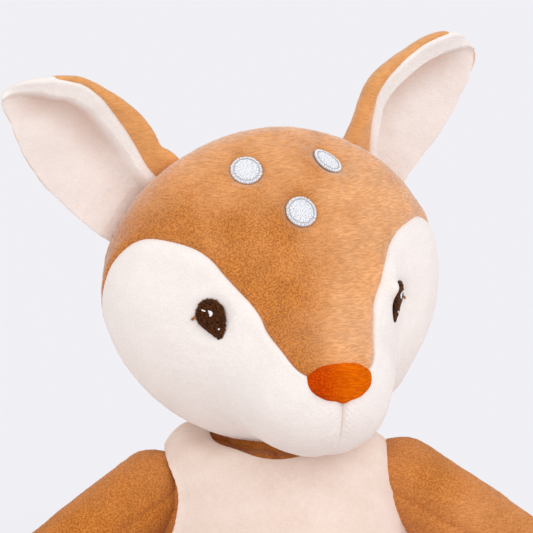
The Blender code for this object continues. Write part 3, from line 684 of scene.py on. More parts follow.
# Along each ear in millimetres: place, reach towards the head's middle, reach away from it, how far the
# caramel back wraps round to the front, and how wide the cream rolls over beyond that
EAR_STATIONS = {
    "left": (
        (-10.0, 15.5, 12.0, 14.5, 5.0),
        (-1.0, 15.3, 13.3, 13.8, 5.0),
        (2.2, 15.7, 13.5, 12.4, 5.0),
        (6.6, 16.9, 13.6, 8.9, 5.4),
        (11.9, 19.2, 13.5, 6.8, 6.0),
        (16.4, 20.7, 13.5, 4.6, 6.6),
        (21.9, 20.8, 13.3, 3.2, 7.2),
        (27.3, 19.8, 12.8, 2.3, 8.0),
        (33.2, 18.2, 11.9, 1.5, 8.8),
        (39.2, 16.1, 9.8, 1.1, 9.0),
        (44.4, 13.0, 7.8, 0.6, 9.0),
        (48.5, 9.3, 5.6, -0.2, 9.0),
        (50.6, 5.6, 3.4, -1.4, 9.0),
        (51.6, 0.0, 0.0, 0.0, 9.0),
    ),
    "right": (
        (-10.0, 19.0, 12.0, 8.6, 4.0),
        (-4.0, 19.8, 13.1, 8.6, 4.0),
        (0.0, 19.9, 13.6, 8.7, 4.0),
        (3.6, 19.2, 13.9, 7.4, 4.2),
        (8.6, 21.1, 13.9, 7.5, 4.6),
        (15.0, 22.4, 13.7, 6.8, 5.1),
        (22.5, 22.3, 13.0, 5.1, 5.4),
        (27.5, 21.6, 12.0, 3.6, 5.6),
        (34.0, 20.2, 10.1, 2.4, 6.6),
        (38.0, 18.1, 8.3, 1.9, 7.4),
        (42.0, 14.7, 6.1, 0.2, 7.8),
        (45.5, 11.2, 4.5, -1.2, 8.0),
        (48.8, 7.3, 2.8, -1.6, 8.0),
        (50.5, 3.8, 1.4, -1.0, 8.0),
        (51.2, 0.0, 0.0, 0.0, 8.0),
    ),
}
def ear_matrix(label, sign):
    """The ear's own axes in the world: X along its hinge, Y out of its front, Z to its tip."""
    mirror = np.array([sign, 1.0, 1.0])
    flip = np.array([1.0, -1.0, 1.0])
    foot = meet_head(np.zeros(3), unit(EAR_SPOTS[label] * mirror))
    z = unit(EAR_AXES[label] * mirror * flip)
    across = EAR_ACROSS[label] * mirror * flip
    x = unit(across - z * (across @ z)) * -sign
    local = np.eye(4)
    local[:3, 0], local[:3, 1], local[:3, 2] = x, np.cross(z, x), z
    local[:3, 3] = (foot + head_normals(foot) * EAR_ROOT_LIFT) * flip
    return HEAD @ local


def ear_parts(station):
    """A station's five columns, and half its width, never quite nothing."""
    place, inner, outer, wrap, roll = (station[..., k] for k in range(5))
    return place, inner, outer, wrap, roll, np.maximum((inner + outer) / 2, 1e-5)


def ear_section(turn, station, sign):
    """A point of the ear's skin: round its section by turn, 0 at the edge near the head's middle and a
    half turn at the other edge. A cupped middle surface carries a broad round roll along the inner edge,
    a hollow beside it in front, and a fuller back; both edges close in a quarter circle."""
    place, inner, outer, wrap, roll, half = ear_parts(station)
    x = np.cos(turn)
    near, far = half * (1 - x), half * (1 + x)
    size = np.clip(half / 0.0165, 0, 1)
    rim = EAR_RIM * size**0.7
    close = [np.sqrt(1 - (1 - np.clip(way / rim, 0, 1)) ** 2) for way in (near, far / 0.45)]
    past = near - wrap - roll
    in_front = 1 - 1.15 * eased((past + 0.0018) / 0.0036) + 0.40 * eased((past - 0.0030) / 0.0120)
    behind = 1 - 0.45 * eased((near - 0.0060 * size) / (0.0160 * size))
    y = np.where(np.sin(turn) > 0, rim * in_front, -rim * behind) * close[0] * close[1]
    along = np.clip(place / EAR_STATIONS["left"][-1][0] * 1000, 0, 1)
    y = y + EAR_CUP * size * x**2 + EAR_TIP_LEAN * along**2 - EAR_BOW * 4 * along * (1 - along)
    return vectors(sign * ((inner - outer) / 2 + half * x), y, place)


def plush_ears():
    """Each ear's caramel back and cream lining, as two stretches of turn round the same section. They
    meet in front where the back's wrap ends, and at the outer edge, and dip there under their pile."""
    for label, sign in SIDES:
        matrix = ear_matrix(label, sign)
        station = through(EAR_STATIONS[label], 190)[:, None] / 1000
        place, _, _, wrap, roll, half = ear_parts(station)
        to_tip = place[-1] - place
        border = np.sign(wrap) * np.arccos(np.clip(1 - np.abs(wrap) / half, -0.9, 1))
        for part, colour, front, count in (("back", "ear", -1, 210), ("lining", "cream", 1, 170)):
            t = np.linspace(0.0, 1.0, count)[None, :]
            turn = border + (math.pi - border) * t if front > 0 else math.pi + (math.pi + border) * t
            local = ear_section(turn, station, sign)
            du = ear_section(turn + 0.01, station, sign) - local
            normal = unit(np.cross(du, np.gradient(local, axis=0)), 1e-14)
            if np.sum(normal[..., 1]) * front < 0:
                normal = -normal
            run = running_length(local, 1)
            seam, edge = (run, run[:, -1:] - run)[::front]
            height = pile(local + sign, 0.00030, 0.00012, 0.00006)
            height = height - 0.0008 * np.exp(-seam / 0.0008) - 0.0003 * np.exp(-edge / 0.0006)
            points = local + normal * (height * eased(to_tip / 0.0025))[..., None]
            past = half * (1 - np.cos(turn)) - wrap - roll
            # The backs take a fixed share of the lying colour: painted light for light shining through the
            # ears
            nap_and_painted_light = 0.7 + 0 * past
            if front > 0:
                # Painted shade in the lining: a little over all of it past the roll, and most in the hollow
                # under the roll, so the roll stays lighter
                hollow_shade = eased((past + 0.0012) / 0.0024) * (1 - 0.85 * eased((past - 0.0015) / 0.0110))
                along = eased((place + 0.002) / 0.028) * eased(to_tip / 0.012)
                nap_and_painted_light = 0.18 * eased((past + 0.0010) / 0.0030) + 0.80 * hollow_shade * along
            name = "ear_%s_plush_%s" % (part, label)
            piece = grid_piece(name, placed(points, matrix), normal @ matrix[:3, :3].T, {"nap_and_painted_light": nap_and_painted_light})
            finish_piece(piece, "ear_" + label, "ear_%s_%s" % (part, label), colour)


# Stuffed forms

# The torso's profile, as shares of its height, half width and half depth


TORSO_ROWS = (
    (0.000, 0.000, 0.000),
    (0.000, 0.800, 0.757),
    (0.048, 0.944, 0.924),
    (0.157, 1.000, 1.000),
    (0.296, 0.991, 1.000),
    (0.431, 0.956, 0.965),
    (0.558, 0.913, 0.916),
    (0.673, 0.882, 0.859),
    (0.787, 0.858, 0.784),
    (0.870, 0.836, 0.724),
    (0.924, 0.809, 0.670),
    (0.961, 0.764, 0.622),
    (0.984, 0.702, 0.576),
    (0.996, 0.627, 0.527),
    (1.000, 0.533, 0.465),
    (1.002, 0.400, 0.360),
    (1.003, 0.000, 0.000),
)
# Places along, half widths and half depths of the pellet bag and of the neck
BAG_ROWS = (
    (0.0025, 0, 0), (0.0028, 0.018, 0.012), (0.007, 0.0255, 0.0165), (0.012, 0.024, 0.016),
    (0.018, 0.012, 0.008), (0.0195, 0, 0),
)
NECK_ROWS = (
    (0.1060, 0, 0), (0.1062, 0.0146, 0.0146), (0.1120, 0.0152, 0.0152), (0.1190, 0.0146, 0.0146),
    (0.1250, 0.0148, 0.0148), (0.1320, 0.0160, 0.0160), (0.1400, 0.0120, 0.0120), (0.1435, 0, 0),
)
# How far back the bag lies, and each arm from its shoulder. Limb sizes are the radius at the root, the
# waist and the tip, and the length
BAG_BACK = 0.007
ARM_BACK = {1: 0.0005, -1: -0.0025}
ARM_SIZES = {1: (0.0142, 0.0114, 0.0130, 0.097), -1: (0.0136, 0.0114, 0.0130, 0.097)}
ARM_FILLING = (0.0132, 0.0112, 0.0130, 0.097)
ARM_DROP, ARM_REACH = math.radians(32.0), math.radians(8.0)
LEG_SIZES = (0.0170, 0.0135, 0.0170, 0.112)
LEG_SPLAY = math.radians(12.0)
HIP = (0.0240, -0.0300, 0.0165)
TAIL_SIZES = (0.0068, 0.0076, 0.0046, 0.030)
TAIL_RISE = math.radians(25.0)
TAIL_ROOT = (0.0, 0.0395, 0.0240)
# Where the chest's top is pushed up or down: how far, the place to the side and back, and widths each way
SHOULDER_MOUNDS = (
    (0.0050, -0.0275, 0.0090, 0.0095, 0.0145),
    (0.0012, 0.0320, 0.0080, 0.0080, 0.0130),
    (-0.0022, 0.0170, -0.0150, 0.0130, 0.0090),
)


def shoulders(points):
    """The chest's top as it sits under the head: its right shoulder pushed up at the back, its left one a
    little, and the front left lower for the chin that turns over it, each by a bell in plan."""
    moved = points.copy()
    side, depth, up = points[..., 0], points[..., 1], points[..., 2]
    rise = 0.0
    for high, x, y, wide, deep in SHOULDER_MOUNDS:
        rise = rise + high * bell(np.hypot((side - x) / wide, (depth - y) / deep), 1.0)
    moved[..., 2] = up + rise * eased((up - 0.0980) / 0.0180)
    return moved


def stuffed(name, body, node, finish, rows, steps, columns, matrix, shape=None, seams=(), flatten=None):
    """A stuffed form round an axis: rows of (along, half width, half depth) through which a smooth
    profile runs, pile on it, seams as grooves at the given turns, and no point under the flat height."""
    along, wide, deep = through(rows, steps).T[..., None]
    turn = np.linspace(0.0, math.tau, columns)[None, :]
    base = vectors(wide * np.cos(turn), deep * np.sin(turn), along)
    if shape:
        base = shape(base)
    du, dv = np.gradient(base, axis=1), np.gradient(base, axis=0)
    du[:, 0] = du[:, -1] = base[:, 1] - base[:, -2]
    normal = unit(np.cross(du, dv), 1e-16)
    normal[0] = (0, 0, -1)
    normal[-1] = (0, 0, 1)
    from_axis = base - vectors(0.0, 0.0, along)
    third = len(base) // 3
    if np.sum((normal * from_axis)[third : 2 * len(base) // 3]) < 0:
        normal[1:-1] = -normal[1:-1]
    normal = normal @ matrix[:3, :3].T
    world = placed(base, matrix)
    height = pile(world)
    for seam in seams:
        gap = np.abs((turn - seam + math.pi) % math.tau - math.pi) * np.maximum(wide, 0.002)
        height = height + groove(gap, 0.0008, 0.0009)
    world = world + normal * height[..., None]
    world[:, -1] = world[:, 0]
    if flatten is not None:
        world[..., 2] = np.maximum(world[..., 2], flatten)
    # The nap share is random patches and painted light: lighter towards the deer's left, where the key light
    # falls
    nap_and_painted_light = np.clip(0.12 + 0.3 * lumps(world, 0.012, 23) + 0.2 * eased(world[..., 0] / 0.040), 0, 1)
    finish_piece(grid_piece(name, world, normal, {"nap_and_painted_light": nap_and_painted_light}), body, node, finish)


def torso_rows(skin=0.0):
    """The torso's profile in metres, a skin's thickness inside."""
    height, wide, deep = TORSO_HEIGHT - 2 * skin, TORSO_HALF_WIDTH - skin, TORSO_HALF_DEPTH - skin
    return [(skin + h * height, w * wide, d * deep) for h, w, d in TORSO_ROWS]


def limb_rows(root, waist, tip, length):
    """A limb from its pivot: a round root, a drawn-in waist and a round end."""

    def ball(middle, radius, angles):
        turns = [math.radians(a) for a in angles]
        return [(middle + radius * math.sin(a), radius * math.cos(a)) for a in turns]

    end = length - tip
    rows = [(-root, 0.0), *ball(0.0, root, (-75, -50, -22, 8))]
    rows += [(end * 0.30, (root + waist) / 2), (end * 0.5, waist), (end * 0.8, (tip + waist) / 2)]
    rows += [*ball(end, tip, (-6, 25, 52, 76)), (length, 0.0)]
    return [(along, radius, radius) for along, radius in rows]


def along_matrix(direction, up, place):
    """Local Z along the direction, local Y as near to up as it can be."""
    z = Vector(direction).normalized()
    x = Vector(up).cross(z).normalized()
    m = Matrix((x, z.cross(x), z)).transposed().to_4x4()
    m.translation = Vector(place)
    return np.array(m)


def sewn_limb(kind, label, matrix, sizes, filling, steps, columns, seam, flatten=None):
    """A limb's skin with two seams, half a turn apart, and the filling one skin in."""
    body, seams = "%s_%s" % (kind, label), (seam, seam + math.pi)
    name, rows = "%s_plush_%s" % (kind, label), limb_rows(*sizes)
    stuffed(name, body, body + "_skin", "limb", rows, steps, columns, matrix, None, seams, flatten)
    name, rows = "%s_fibre_%s" % (kind, label), limb_rows(*(size - SKIN for size in filling))
    stuffed(name, body, body + "_filling", "fibre", rows, 40, 33, matrix)


def plush_body():
    """Torso, pellet bag, neck, limbs and tail, each a stuffed form on its own axis."""
    upright, shifted, seams = np.eye(4), np.eye(4), (0.0, math.pi, math.pi * 1.5)
    shifted[1, 3] = BAG_BACK
    rows = torso_rows()
    stuffed("torso_plush", "torso", "torso_skin", "limb", rows, 220, 261, upright, shoulders, seams, 0.0)
    stuffed("torso_fibre", "torso", "torso_filling", "fibre", torso_rows(SKIN), 40, 49, upright)
    stuffed("pellet_bag_cloth", "torso", "pellet_bag", "bag", BAG_ROWS, 30, 49, shifted)
    stuffed("neck_plush", "neck", "neck", "limb", NECK_ROWS, 90, 151, upright)

    for label, sign in SIDES:
        flat = math.cos(ARM_DROP)
        way = (sign * flat * math.cos(ARM_REACH), -flat * math.sin(ARM_REACH), -math.sin(ARM_DROP))
        matrix = along_matrix(way, (0, -1, 0), (sign * SHOULDER[0], *SHOULDER[1:]))
        matrix[1, 3] += ARM_BACK[sign]
        seam = math.pi / 2 + 0.14 * sign
        sewn_limb("arm", label, matrix, ARM_SIZES[sign], ARM_FILLING, 210, 151, seam)
        way = (sign * math.sin(LEG_SPLAY), -math.cos(LEG_SPLAY), 0.0)
        matrix = along_matrix(way, (0, 0, 1), (sign * HIP[0], *HIP[1:]))
        sewn_limb("leg", label, matrix, LEG_SIZES, LEG_SIZES, 220, 171, 0.0, 0.0)

    matrix = along_matrix((0.0, math.cos(TAIL_RISE), math.sin(TAIL_RISE)), (0, 0, 1), TAIL_ROOT)
    stuffed("tail_plush", "tail", "tail", "limb", limb_rows(*TAIL_SIZES), 90, 91, matrix)


# The vest


VEST_HEM = 0.040
VEST_GAP = 0.0006
VEST_CLOTH = 0.0011
NECKLINE = {"front": (0.0205, 0.0215), "back": (0.0205, 0.0195)}
STRAP_EDGE = 0.0335
ARMHOLE_LOW = 0.0815
ARMHOLE_HALF_DEPTHS = {1: 0.0072, -1: 0.0171}
# The shares of each panel's rows at which the armholes start and end
ARMHOLE_START, ARMHOLE_END = 0.40, 0.82


def vest_lift(base, run, share, from_neck):
    """How far the cloth stands off the torso: long folds that fade upwards, waves and a flare at the hem,
    a rolled, finely ribbed edge with a stitched line along each armhole, a dip along the side seams, and
    a thicker neckline."""
    height = base[..., 2]
    folds = 0.0007 * lumps(base * np.array([1.0, 1.0, 0.22]), 0.0085, 41) * eased((0.100 - height) / 0.030)
    waves = np.sin(base[..., 0] / 0.0052 + 2.0 * lumps(base, 0.02, 43))
    folds += 0.0006 * waves * eased((0.062 - height) / 0.022) + 0.0004 * lumps(base, 0.010, 45)
    lift = VEST_GAP + 0.0007 + np.abs(folds) + 0.0012 * eased((0.055 - height) / 0.015)
    beside = from_ends(base)
    ribs = np.sin(run / 0.00036 + 1.5 * lumps(base, 0.004, 47)) * bell(beside, 0.0026)
    edge = 0.0004 * bell(beside, 0.0013) + 0.00009 * ribs - 0.0001 * bell(beside - 0.0030, 0.0006)
    armhole = eased((1 - np.abs(share)) / 0.12)
    lift += edge * armhole - 0.0004 * np.exp(-beside / 0.0008) * (1 - armhole)
    return lift + 0.0002 * eased((0.0042 - from_neck) / 0.0030)


def vest_panels():
    """Front and back panels over the torso's own profile. Each column climbs from the hem to the neck
    opening's ellipse, and the rows beside the armholes are drawn in by a rounded opening's outline."""
    profile = through(torso_rows()[1:-1], 1600)
    run = running_length(profile, 0)
    start, low = np.interp((VEST_HEM, ARMHOLE_LOW), profile[:, 0], run)
    upper = len(profile) // 2
    high = np.interp(-STRAP_EDGE, -profile[upper:, 1], run[upper:])
    middle, half = (low + high) / 2, (high - low) / 2
    t = np.linspace(0.0, 1.0, 230)[None, :]
    climb = np.linspace(0.0, 1.0, 240)[:, None]
    even = math.pi * t
    for side, depth in (("front", -1.0), ("back", 1.0)):
        wide, deep = NECKLINE[side]
        x, y = profile[:, 1:2] * np.cos(even) / wide, profile[:, 2:3] * np.sin(even) / deep
        top = run[np.argmax(x**2 + y**2 < 1.0, axis=0)][None, :]
        share = np.clip((climb - ARMHOLE_START) / (ARMHOLE_END - ARMHOLE_START), 0, 1)
        beside = middle - half * np.cos(math.pi * share)
        above = high + (top - high) * (climb - ARMHOLE_END) / (1 - ARMHOLE_END)
        place = np.where(climb < ARMHOLE_START, start + (low - start) * climb / ARMHOLE_START, beside)
        place = np.where(climb > ARMHOLE_END, above, place)
        share = (place - middle) / half
        opening = np.sqrt(np.clip(1 - np.abs(share) ** 2.4, 0, 1))
        height, wide, deep = (np.interp(place, run, profile[:, k]) for k in range(3))
        left, right = (
            np.arcsin(np.clip(ARMHOLE_HALF_DEPTHS[sign] * opening / deep, 0, 0.9)) for _, sign in SIDES
        )
        turn = even + left * (1 - t) ** 3 - right * t**3
        x, y = np.cos(turn), depth * np.sin(turn)
        base = vectors(wide * x, deep * y, height)
        rise, widen, deepen = (np.interp(place, run, np.gradient(profile[:, k], run)) for k in range(3))
        slope = -(widen * x**2 / wide + deepen * y**2 / deep)
        out = unit(vectors(rise * x / wide, rise * y / deep, slope))
        points = shoulders(base) + out * vest_lift(base, place, share, top - place)[..., None]
        from_middle, uv = points - np.array([0.0, 0.0, 0.07]), vectors(turn * 0.030, place)
        piece = grid_piece("vest_%s_cloth" % side, points, from_middle, None, uv, weld=False)
        solid = piece.modifiers.new("cloth", "SOLIDIFY")
        solid.thickness = VEST_CLOTH
        solid.offset = -0.2
        finish_piece(piece, "torso", "vest_" + side, "vest")


# Materials

# Pile cloths: slot, colour, painted shade colour between the tips, colour where it lies over (painted light:
# lighter where light catches it, and for the cream a warm painted shade in the ear hollows), how strong the
# painted shade flecks are, clouds, sheen and its tint, then bump and gloss where they aren't the usual ones
PILES = {
    "caramel": (
        "caramel_plush", (0.650, 0.232, 0.042), (0.36, 0.092, 0.010), (0.86, 0.415, 0.170),
        0.74, 0.14, 0.90, (1.0, 0.91, 0.85),
    ),
    # The ears' pile: a lighter copy of the caramel, painted light for light shining through the thin ears
    "ear": (
        "caramel_plush", (0.70, 0.265, 0.060), (0.42, 0.12, 0.020), (0.88, 0.44, 0.165),
        0.55, 0.10, 0.60, (1.0, 0.88, 0.78),
    ),
    "limb": (
        "caramel_plush", (0.645, 0.218, 0.036), (0.36, 0.090, 0.010), (0.78, 0.36, 0.150),
        0.72, 0.14, 0.22, (1.0, 0.86, 0.74),
    ),
    "cream": (
        "cream_plush", (0.905, 0.835, 0.785), (0.83, 0.73, 0.67), (0.73, 0.555, 0.47),
        0.25, 0.04, 0.25, (1.0, 0.97, 0.94), 0.3,
    ),
    "rust": (
        "rust_plush", (0.68, 0.075, 0.0005), (0.38, 0.026, 0.0003), (0.83, 0.155, 0.0005),
        0.8, 0.12, 0.0, (1.0, 0.5, 0.2), 0.6, 0.03,
    ),
}
# Threads: slot, light tone, dark tone, roughness and gloss
THREADS = {
    "white_thread": ("white_thread", (0.95, 0.955, 0.97), (0.84, 0.845, 0.87), 0.45, 0.4),
    # The dots' ground: greyer than the white thread, as painted shade between the stitches
    "dot_ground": ("white_thread", (0.70, 0.71, 0.74), (0.52, 0.53, 0.56), 0.6, 0.3),
    "brown_thread": ("brown_thread", (0.145, 0.042, 0.007), (0.012, 0.003, 0.001), 0.5, 0.12),
    "lash_thread": ("brown_thread", (0.45, 0.19, 0.07), (0.30, 0.11, 0.03), 0.5, 0.2),
    "eye_ground": ("brown_thread", (0.03, 0.008, 0.002), (0.010, 0.003, 0.001), 0.6, 0.1),
}
# Fillings: slot, light tone, dark tone and fineness
FILLINGS = {
    "fibre": ("fibre_filling", (0.9, 0.9, 0.88), (0.75, 0.75, 0.73), 900.0),
    "bag": ("bag_cloth", (0.6, 0.59, 0.57), (0.42, 0.41, 0.40), 1200.0),
}


class Wires:
    """Short ways to add nodes to a tree and join them."""

    def __init__(self, tree):
        self.tree = tree

    def fill(self, node, inputs):
        """Sets a node's inputs, by number or name, to values or joins them to sockets."""
        for key, value in inputs.items():
            if isinstance(value, bpy.types.NodeSocket):
                self.tree.links.new(value, node.inputs[key])
            else:
                node.inputs[key].default_value = value

    def node(self, kind, inputs, **settings):
        """The outputs of a new node with these settings and inputs."""
        node = self.tree.nodes.new("ShaderNode" + kind)
        for key, value in settings.items():
            setattr(node, key, value)
        self.fill(node, inputs)
        return node.outputs

    def math(self, kind, a, b, clamp=False):
        return self.node("Math", {0: a, 1: b}, operation=kind, use_clamp=clamp)[0]

    def plus(self, a, b):
        return self.math("ADD", a, b)

    def minus(self, a, b):
        return self.math("SUBTRACT", a, b)

    def times(self, a, b, clamp=False):
        return self.math("MULTIPLY", a, b, clamp)

    def span(self, value, low, high):
        """0 up to low, 1 from high, and a smooth rise between."""
        return self.node("MapRange", {0: value, 1: low, 2: high}, interpolation_type="SMOOTHSTEP")[0]

    def mix(self, share, a, b):
        return self.node("Mix", {0: share, 6: a, 7: b}, data_type="RGBA")[2]

    def noise(self, vector, scale, detail=2.0, rough=0.5):
        inputs = {"Vector": vector, "Scale": scale, "Detail": detail, "Roughness": rough}
        return self.node("TexNoise", inputs)[0]

    def stretched(self, vector, scale):
        return self.node("VectorMath", {0: vector, 1: scale}, operation="MULTIPLY")[0]

    def place(self, kind="Object"):
        return self.node("TexCoord", {})[kind]

    def attribute(self, name):
        return self.node("Attribute", {}, attribute_name=name)["Fac"]

    def bump(self, height, strength, distance):
        return self.node("Bump", {"Height": height, "Strength": strength, "Distance": distance})[0]


def new_group(name, inputs, outputs):
    """A shader node group with named sockets: a colour where the value has four parts, else a number."""
    group = bpy.data.node_groups.new(name, "ShaderNodeTree")
    for way, sockets in (("INPUT", inputs), ("OUTPUT", outputs)):
        for key, value in sockets.items():
            kind = "NodeSocketColor" if isinstance(value, tuple) else "NodeSocketFloat"
            group.interface.new_socket(name=key, in_out=way, socket_type=kind).default_value = value
    return group, group.nodes.new("NodeGroupInput").outputs, group.nodes.new("NodeGroupOutput")


def pile_group():
    """Short pile. Upright pile shows as dark flecks of painted shade between tips, lying pile as fine
    wavering lines; the nap input says which, and how far the lying colour's painted light and shade is mixed
    in; wide clouds lighten and darken it."""
    group, given, out = new_group(
        "short_pile",
        {
            "Colour": (0.5, 0.25, 0.1, 1),
            "Painted Gap Shade": (0.3, 0.1, 0.03, 1),
            "Painted Light Colour": (0.7, 0.4, 0.2, 1),
            "Nap And Painted Light": 0.5,
            "Flecks": 0.5,
            "Clouds": 0.1,
        },
        {"Colour": (0.5, 0.25, 0.1, 1), "Height": 0.5},
    )
    w = Wires(group)
    place, nap_and_painted_light = w.place(), given["Nap And Painted Light"]
    waver = w.times(w.minus(w.noise(place, 170.0, 1.0), 0.5), 0.0024)
    bent = w.node("VectorMath", {0: place, 1: w.node("CombineXYZ", {2: waver})[0]}, operation="ADD")[0]
    upright = w.span(w.noise(place, 1850.0, 2.0, 0.6), 0.38, 0.58)
    lying = w.span(w.noise(w.stretched(bent, (400.0, 400.0, 3500.0)), 1.0, 1.0), 0.32, 0.64)
    height = w.plus(w.times(upright, w.minus(1.0, nap_and_painted_light)), w.times(lying, nap_and_painted_light))
    # Painted light: the nap share mixes in the lying colour, lighter on the caramel, ear and rust pile, a
    # warm painted shade in the cream ear hollows
    base = w.mix(nap_and_painted_light, given["Colour"], given["Painted Light Colour"])
    # Painted shade between the pile tips: the lower the pile there, the nearer the colour comes to the gap
    # shade
    gap = w.times(w.minus(1.0, height), given["Flecks"])
    gap = w.times(gap, w.minus(1.0, w.times(nap_and_painted_light, 0.50)), clamp=True)
    colour = w.mix(gap, base, given["Painted Gap Shade"])
    cloud = w.span(w.noise(place, 95.0, 3.0, 0.6), 0.3, 0.7)
    bright = w.plus(1.0, w.times(w.minus(cloud, 0.5), given["Clouds"]))
    clouded = w.node("VectorMath", {0: colour, "Scale": bright}, operation="SCALE")[0]
    w.fill(out, {"Colour": clouded, "Height": height})
    return group


def shader_of(name):
    """A new material, its surface shader and the wires of its tree."""
    mat = bpy.data.materials.new(name)
    mat.use_nodes = True
    return mat, mat.node_tree.nodes["Principled BSDF"], Wires(mat.node_tree)


def pile_material(name, group, colour, gap, lying, flecks, clouds, sheen, tint, bump=0.5, gloss=0.1):
    """Pile cloth: the pile group's colour and bump, led by the piece's own nap share, which also paints light
    and shade on through the lying colour, with a soft sheen.
    """
    mat, shader, w = shader_of(name)
    tones = {"Colour": (*colour, 1), "Painted Gap Shade": (*gap, 1), "Painted Light Colour": (*lying, 1)}
    amounts = {"Flecks": flecks, "Clouds": clouds, "Nap And Painted Light": w.attribute("nap_and_painted_light")}
    made = w.node("Group", {}, node_tree=group)
    w.fill(made[0].node, tones | amounts)
    w.fill(shader, {
        "Base Color": made["Colour"],
        "Normal": w.bump(made["Height"], bump, 0.0003),
        "Roughness": 0.95,
        "Specular IOR Level": gloss,
        "Sheen Weight": sheen,
        "Sheen Roughness": 0.45,
        "Sheen Tint": (*tint, 1),
    })
    return mat


def thread_material(name, light, dark, roughness, gloss):
    """Satin thread: each stitch a little lighter or darker, fine lines of fibre along it."""
    mat, shader, w = shader_of(name)
    fibre = w.noise(w.place(), 5200.0, 1.0)
    tone = w.plus(w.times(w.attribute("thread"), 0.6), w.times(fibre, 0.4))
    w.fill(shader, {
        "Base Color": w.mix(tone, (*dark, 1), (*light, 1)),
        "Normal": w.bump(fibre, 0.3, 0.0001),
        "Roughness": roughness,
        "Specular IOR Level": gloss,
    })
    return mat


def vest_material():
    """Fine soft cloth: short uneven threads both ways on the cloth's own map, soft uneven tone."""
    mat, shader, w = shader_of("vest")
    uv = w.place("UV")
    along, across = (
        w.noise(w.stretched(uv, scale), 1.0, 1.0) for scale in ((2600.0, 520.0, 1.0), (520.0, 2600.0, 1.0))
    )
    height = w.plus(along, across)
    cloud = w.span(w.noise(w.place(), 110.0, 3.0, 0.6), 0.3, 0.7)
    tone = w.plus(w.times(cloud, 0.55), w.times(w.span(height, 0.7, 1.3), 0.45))
    w.fill(shader, {
        "Base Color": w.mix(tone, (0.80, 0.63, 0.53, 1), (0.88, 0.73, 0.64, 1)),
        "Normal": w.bump(height, 0.25, 0.00015),
        "Roughness": 0.9,
        "Specular IOR Level": 0.2,
        "Sheen Weight": 0.15,
    })
    return mat


def filling_material(name, light, dark, fineness):
    """A loose fibrous stuff: two tones by noise, with bump."""
    mat, shader, w = shader_of(name)
    noise = w.noise(w.place(), fineness, 3.0, 0.6)
    tones = w.mix(noise, (*dark, 1), (*light, 1))
    w.fill(shader, {"Base Color": tones, "Normal": w.bump(noise, 0.4, 0.0005), "Roughness": 0.95})
    return mat


def make_materials():
    """The material and the record's slot of each finish."""
    group = pile_group()
    made = {
        name: (pile_material(name + "_pile", group, *looks), slot) for name, (slot, *looks) in PILES.items()
    }
    for table, make in ((THREADS, thread_material), (FILLINGS, filling_material)):
        made |= {name: (make(name, *looks), slot) for name, (slot, *looks) in table.items()}
    return made | {"vest": (vest_material(), "vest_knit")}


def finish_piece(piece, body, node, finish):
    """Gives a piece its material and its body, and hides the part of the node that it stands for."""
    mat, slot = MATERIALS[finish]
    piece.data.materials.append(mat)
    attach(piece, body)
    if node:
        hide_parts(node)


# Room, light and camera

FLOOR_RADIUS, FLOOR_DROP = 12.0, 0.0002
# How broad the suns are, then each one's strength, colour, and turns in degrees
SUN_BREADTH = math.radians(60.0)
SUNS = {
    "key": (1.05, (0.97, 1.0, 1.05), (58.0, 0.0, 42.0)),
    "fill": (0.58, (1.0, 0.985, 0.96), (66.0, 0.0, -48.0)),
}
# The photograph's view: how far above the head, how far it leans and from how far, then the photograph's
# width and its shift in pixels, what one pixel shows at the head, and the camera's sensor in millimetres
CAMERA_RISE, CAMERA_LEAN, CAMERA_DISTANCE = math.radians(8.3), math.radians(2.2), 0.9
PHOTO_WIDTH, PHOTO_SHIFT, PIXEL, SENSOR = 533, (-3.7, 29.3), 0.00031, 36.0


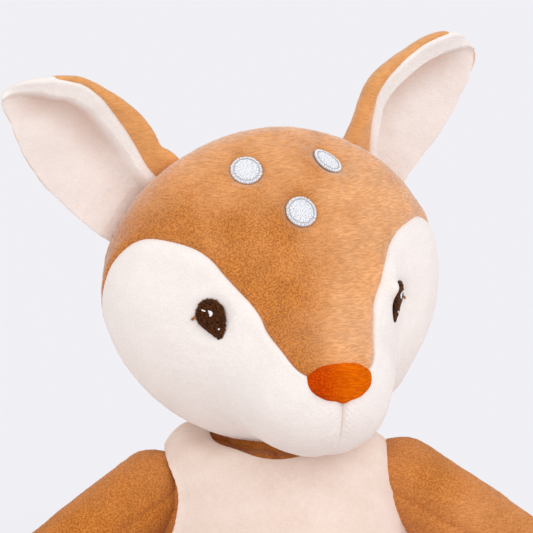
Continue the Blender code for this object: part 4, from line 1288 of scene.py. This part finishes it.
def make_room():
    """A plain pale floor, a pale world that lights the object evenly, and two broad suns."""
    floor_mesh = bpy.data.meshes.new("floor")
    bm = bmesh.new()
    bmesh.ops.create_circle(bm, cap_ends=True, segments=96, radius=FLOOR_RADIUS)
    bm.to_mesh(floor_mesh)
    bm.free()
    floor = add_object("floor", floor_mesh)
    floor.location.z = -FLOOR_DROP
    mat, shader, w = shader_of("floor")
    w.fill(shader, {"Base Color": (0.905, 0.895, 0.915, 1), "Roughness": 0.9, "Specular IOR Level": 0.0})
    floor_mesh.materials.append(mat)

    world = bpy.data.worlds.new("studio")
    bpy.context.scene.world = world
    world.use_nodes = True
    world.node_tree.nodes.clear()
    w = Wires(world.node_tree)
    ray = w.node("LightPath", {})
    seen = w.math("MAXIMUM", ray["Is Camera Ray"], ray["Is Glossy Ray"])
    seen = w.math("MAXIMUM", seen, ray["Is Transmission Ray"])
    light = w.node("Background", {"Color": (1.0, 1.0, 1.02, 1), "Strength": 0.72})[0]
    wall = w.node("Background", {"Color": (0.885, 0.880, 0.905, 1), "Strength": 1.0})[0]
    w.node("OutputWorld", {0: w.node("MixShader", {0: seen, 1: light, 2: wall})[0]})

    for name, (energy, colour, turns) in SUNS.items():
        light = bpy.data.lights.new(name, "SUN")
        light.energy = energy
        light.color = colour
        light.angle = SUN_BREADTH
        add_object(name, light).rotation_euler = [math.radians(a) for a in turns]
    bpy.context.scene.view_settings.view_transform = "Standard"


def make_camera():
    """The photograph's view of the head."""
    rise, lean = CAMERA_RISE, CAMERA_LEAN
    back = Vector((0.0, -math.cos(rise), math.sin(rise)))
    right, up = Vector((1.0, 0.0, 0.0)), Vector((0.0, math.sin(rise), math.cos(rise)))
    x = right * math.cos(lean) - up * math.sin(lean)
    y = right * math.sin(lean) + up * math.cos(lean)
    m = Matrix((x, y, back)).transposed().to_4x4()
    m.translation = Vector((0.0, 0.0, HEAD_HEIGHT)) + back * CAMERA_DISTANCE
    cam = bpy.data.cameras.new("camera")
    cam.sensor_width = SENSOR
    cam.lens = SENSOR * CAMERA_DISTANCE / (PIXEL * PHOTO_WIDTH)
    cam.shift_x, cam.shift_y = (shift / PHOTO_WIDTH for shift in PHOTO_SHIFT)
    ob = add_object("camera", cam)
    ob.matrix_world = m
    bpy.context.scene.camera = ob


MATERIALS = make_materials()
make_camera()
make_room()
plush_head()
plush_nose()
embroidered_dots()
embroidered_eyes()
plush_ears()
plush_body()
vest_panels()
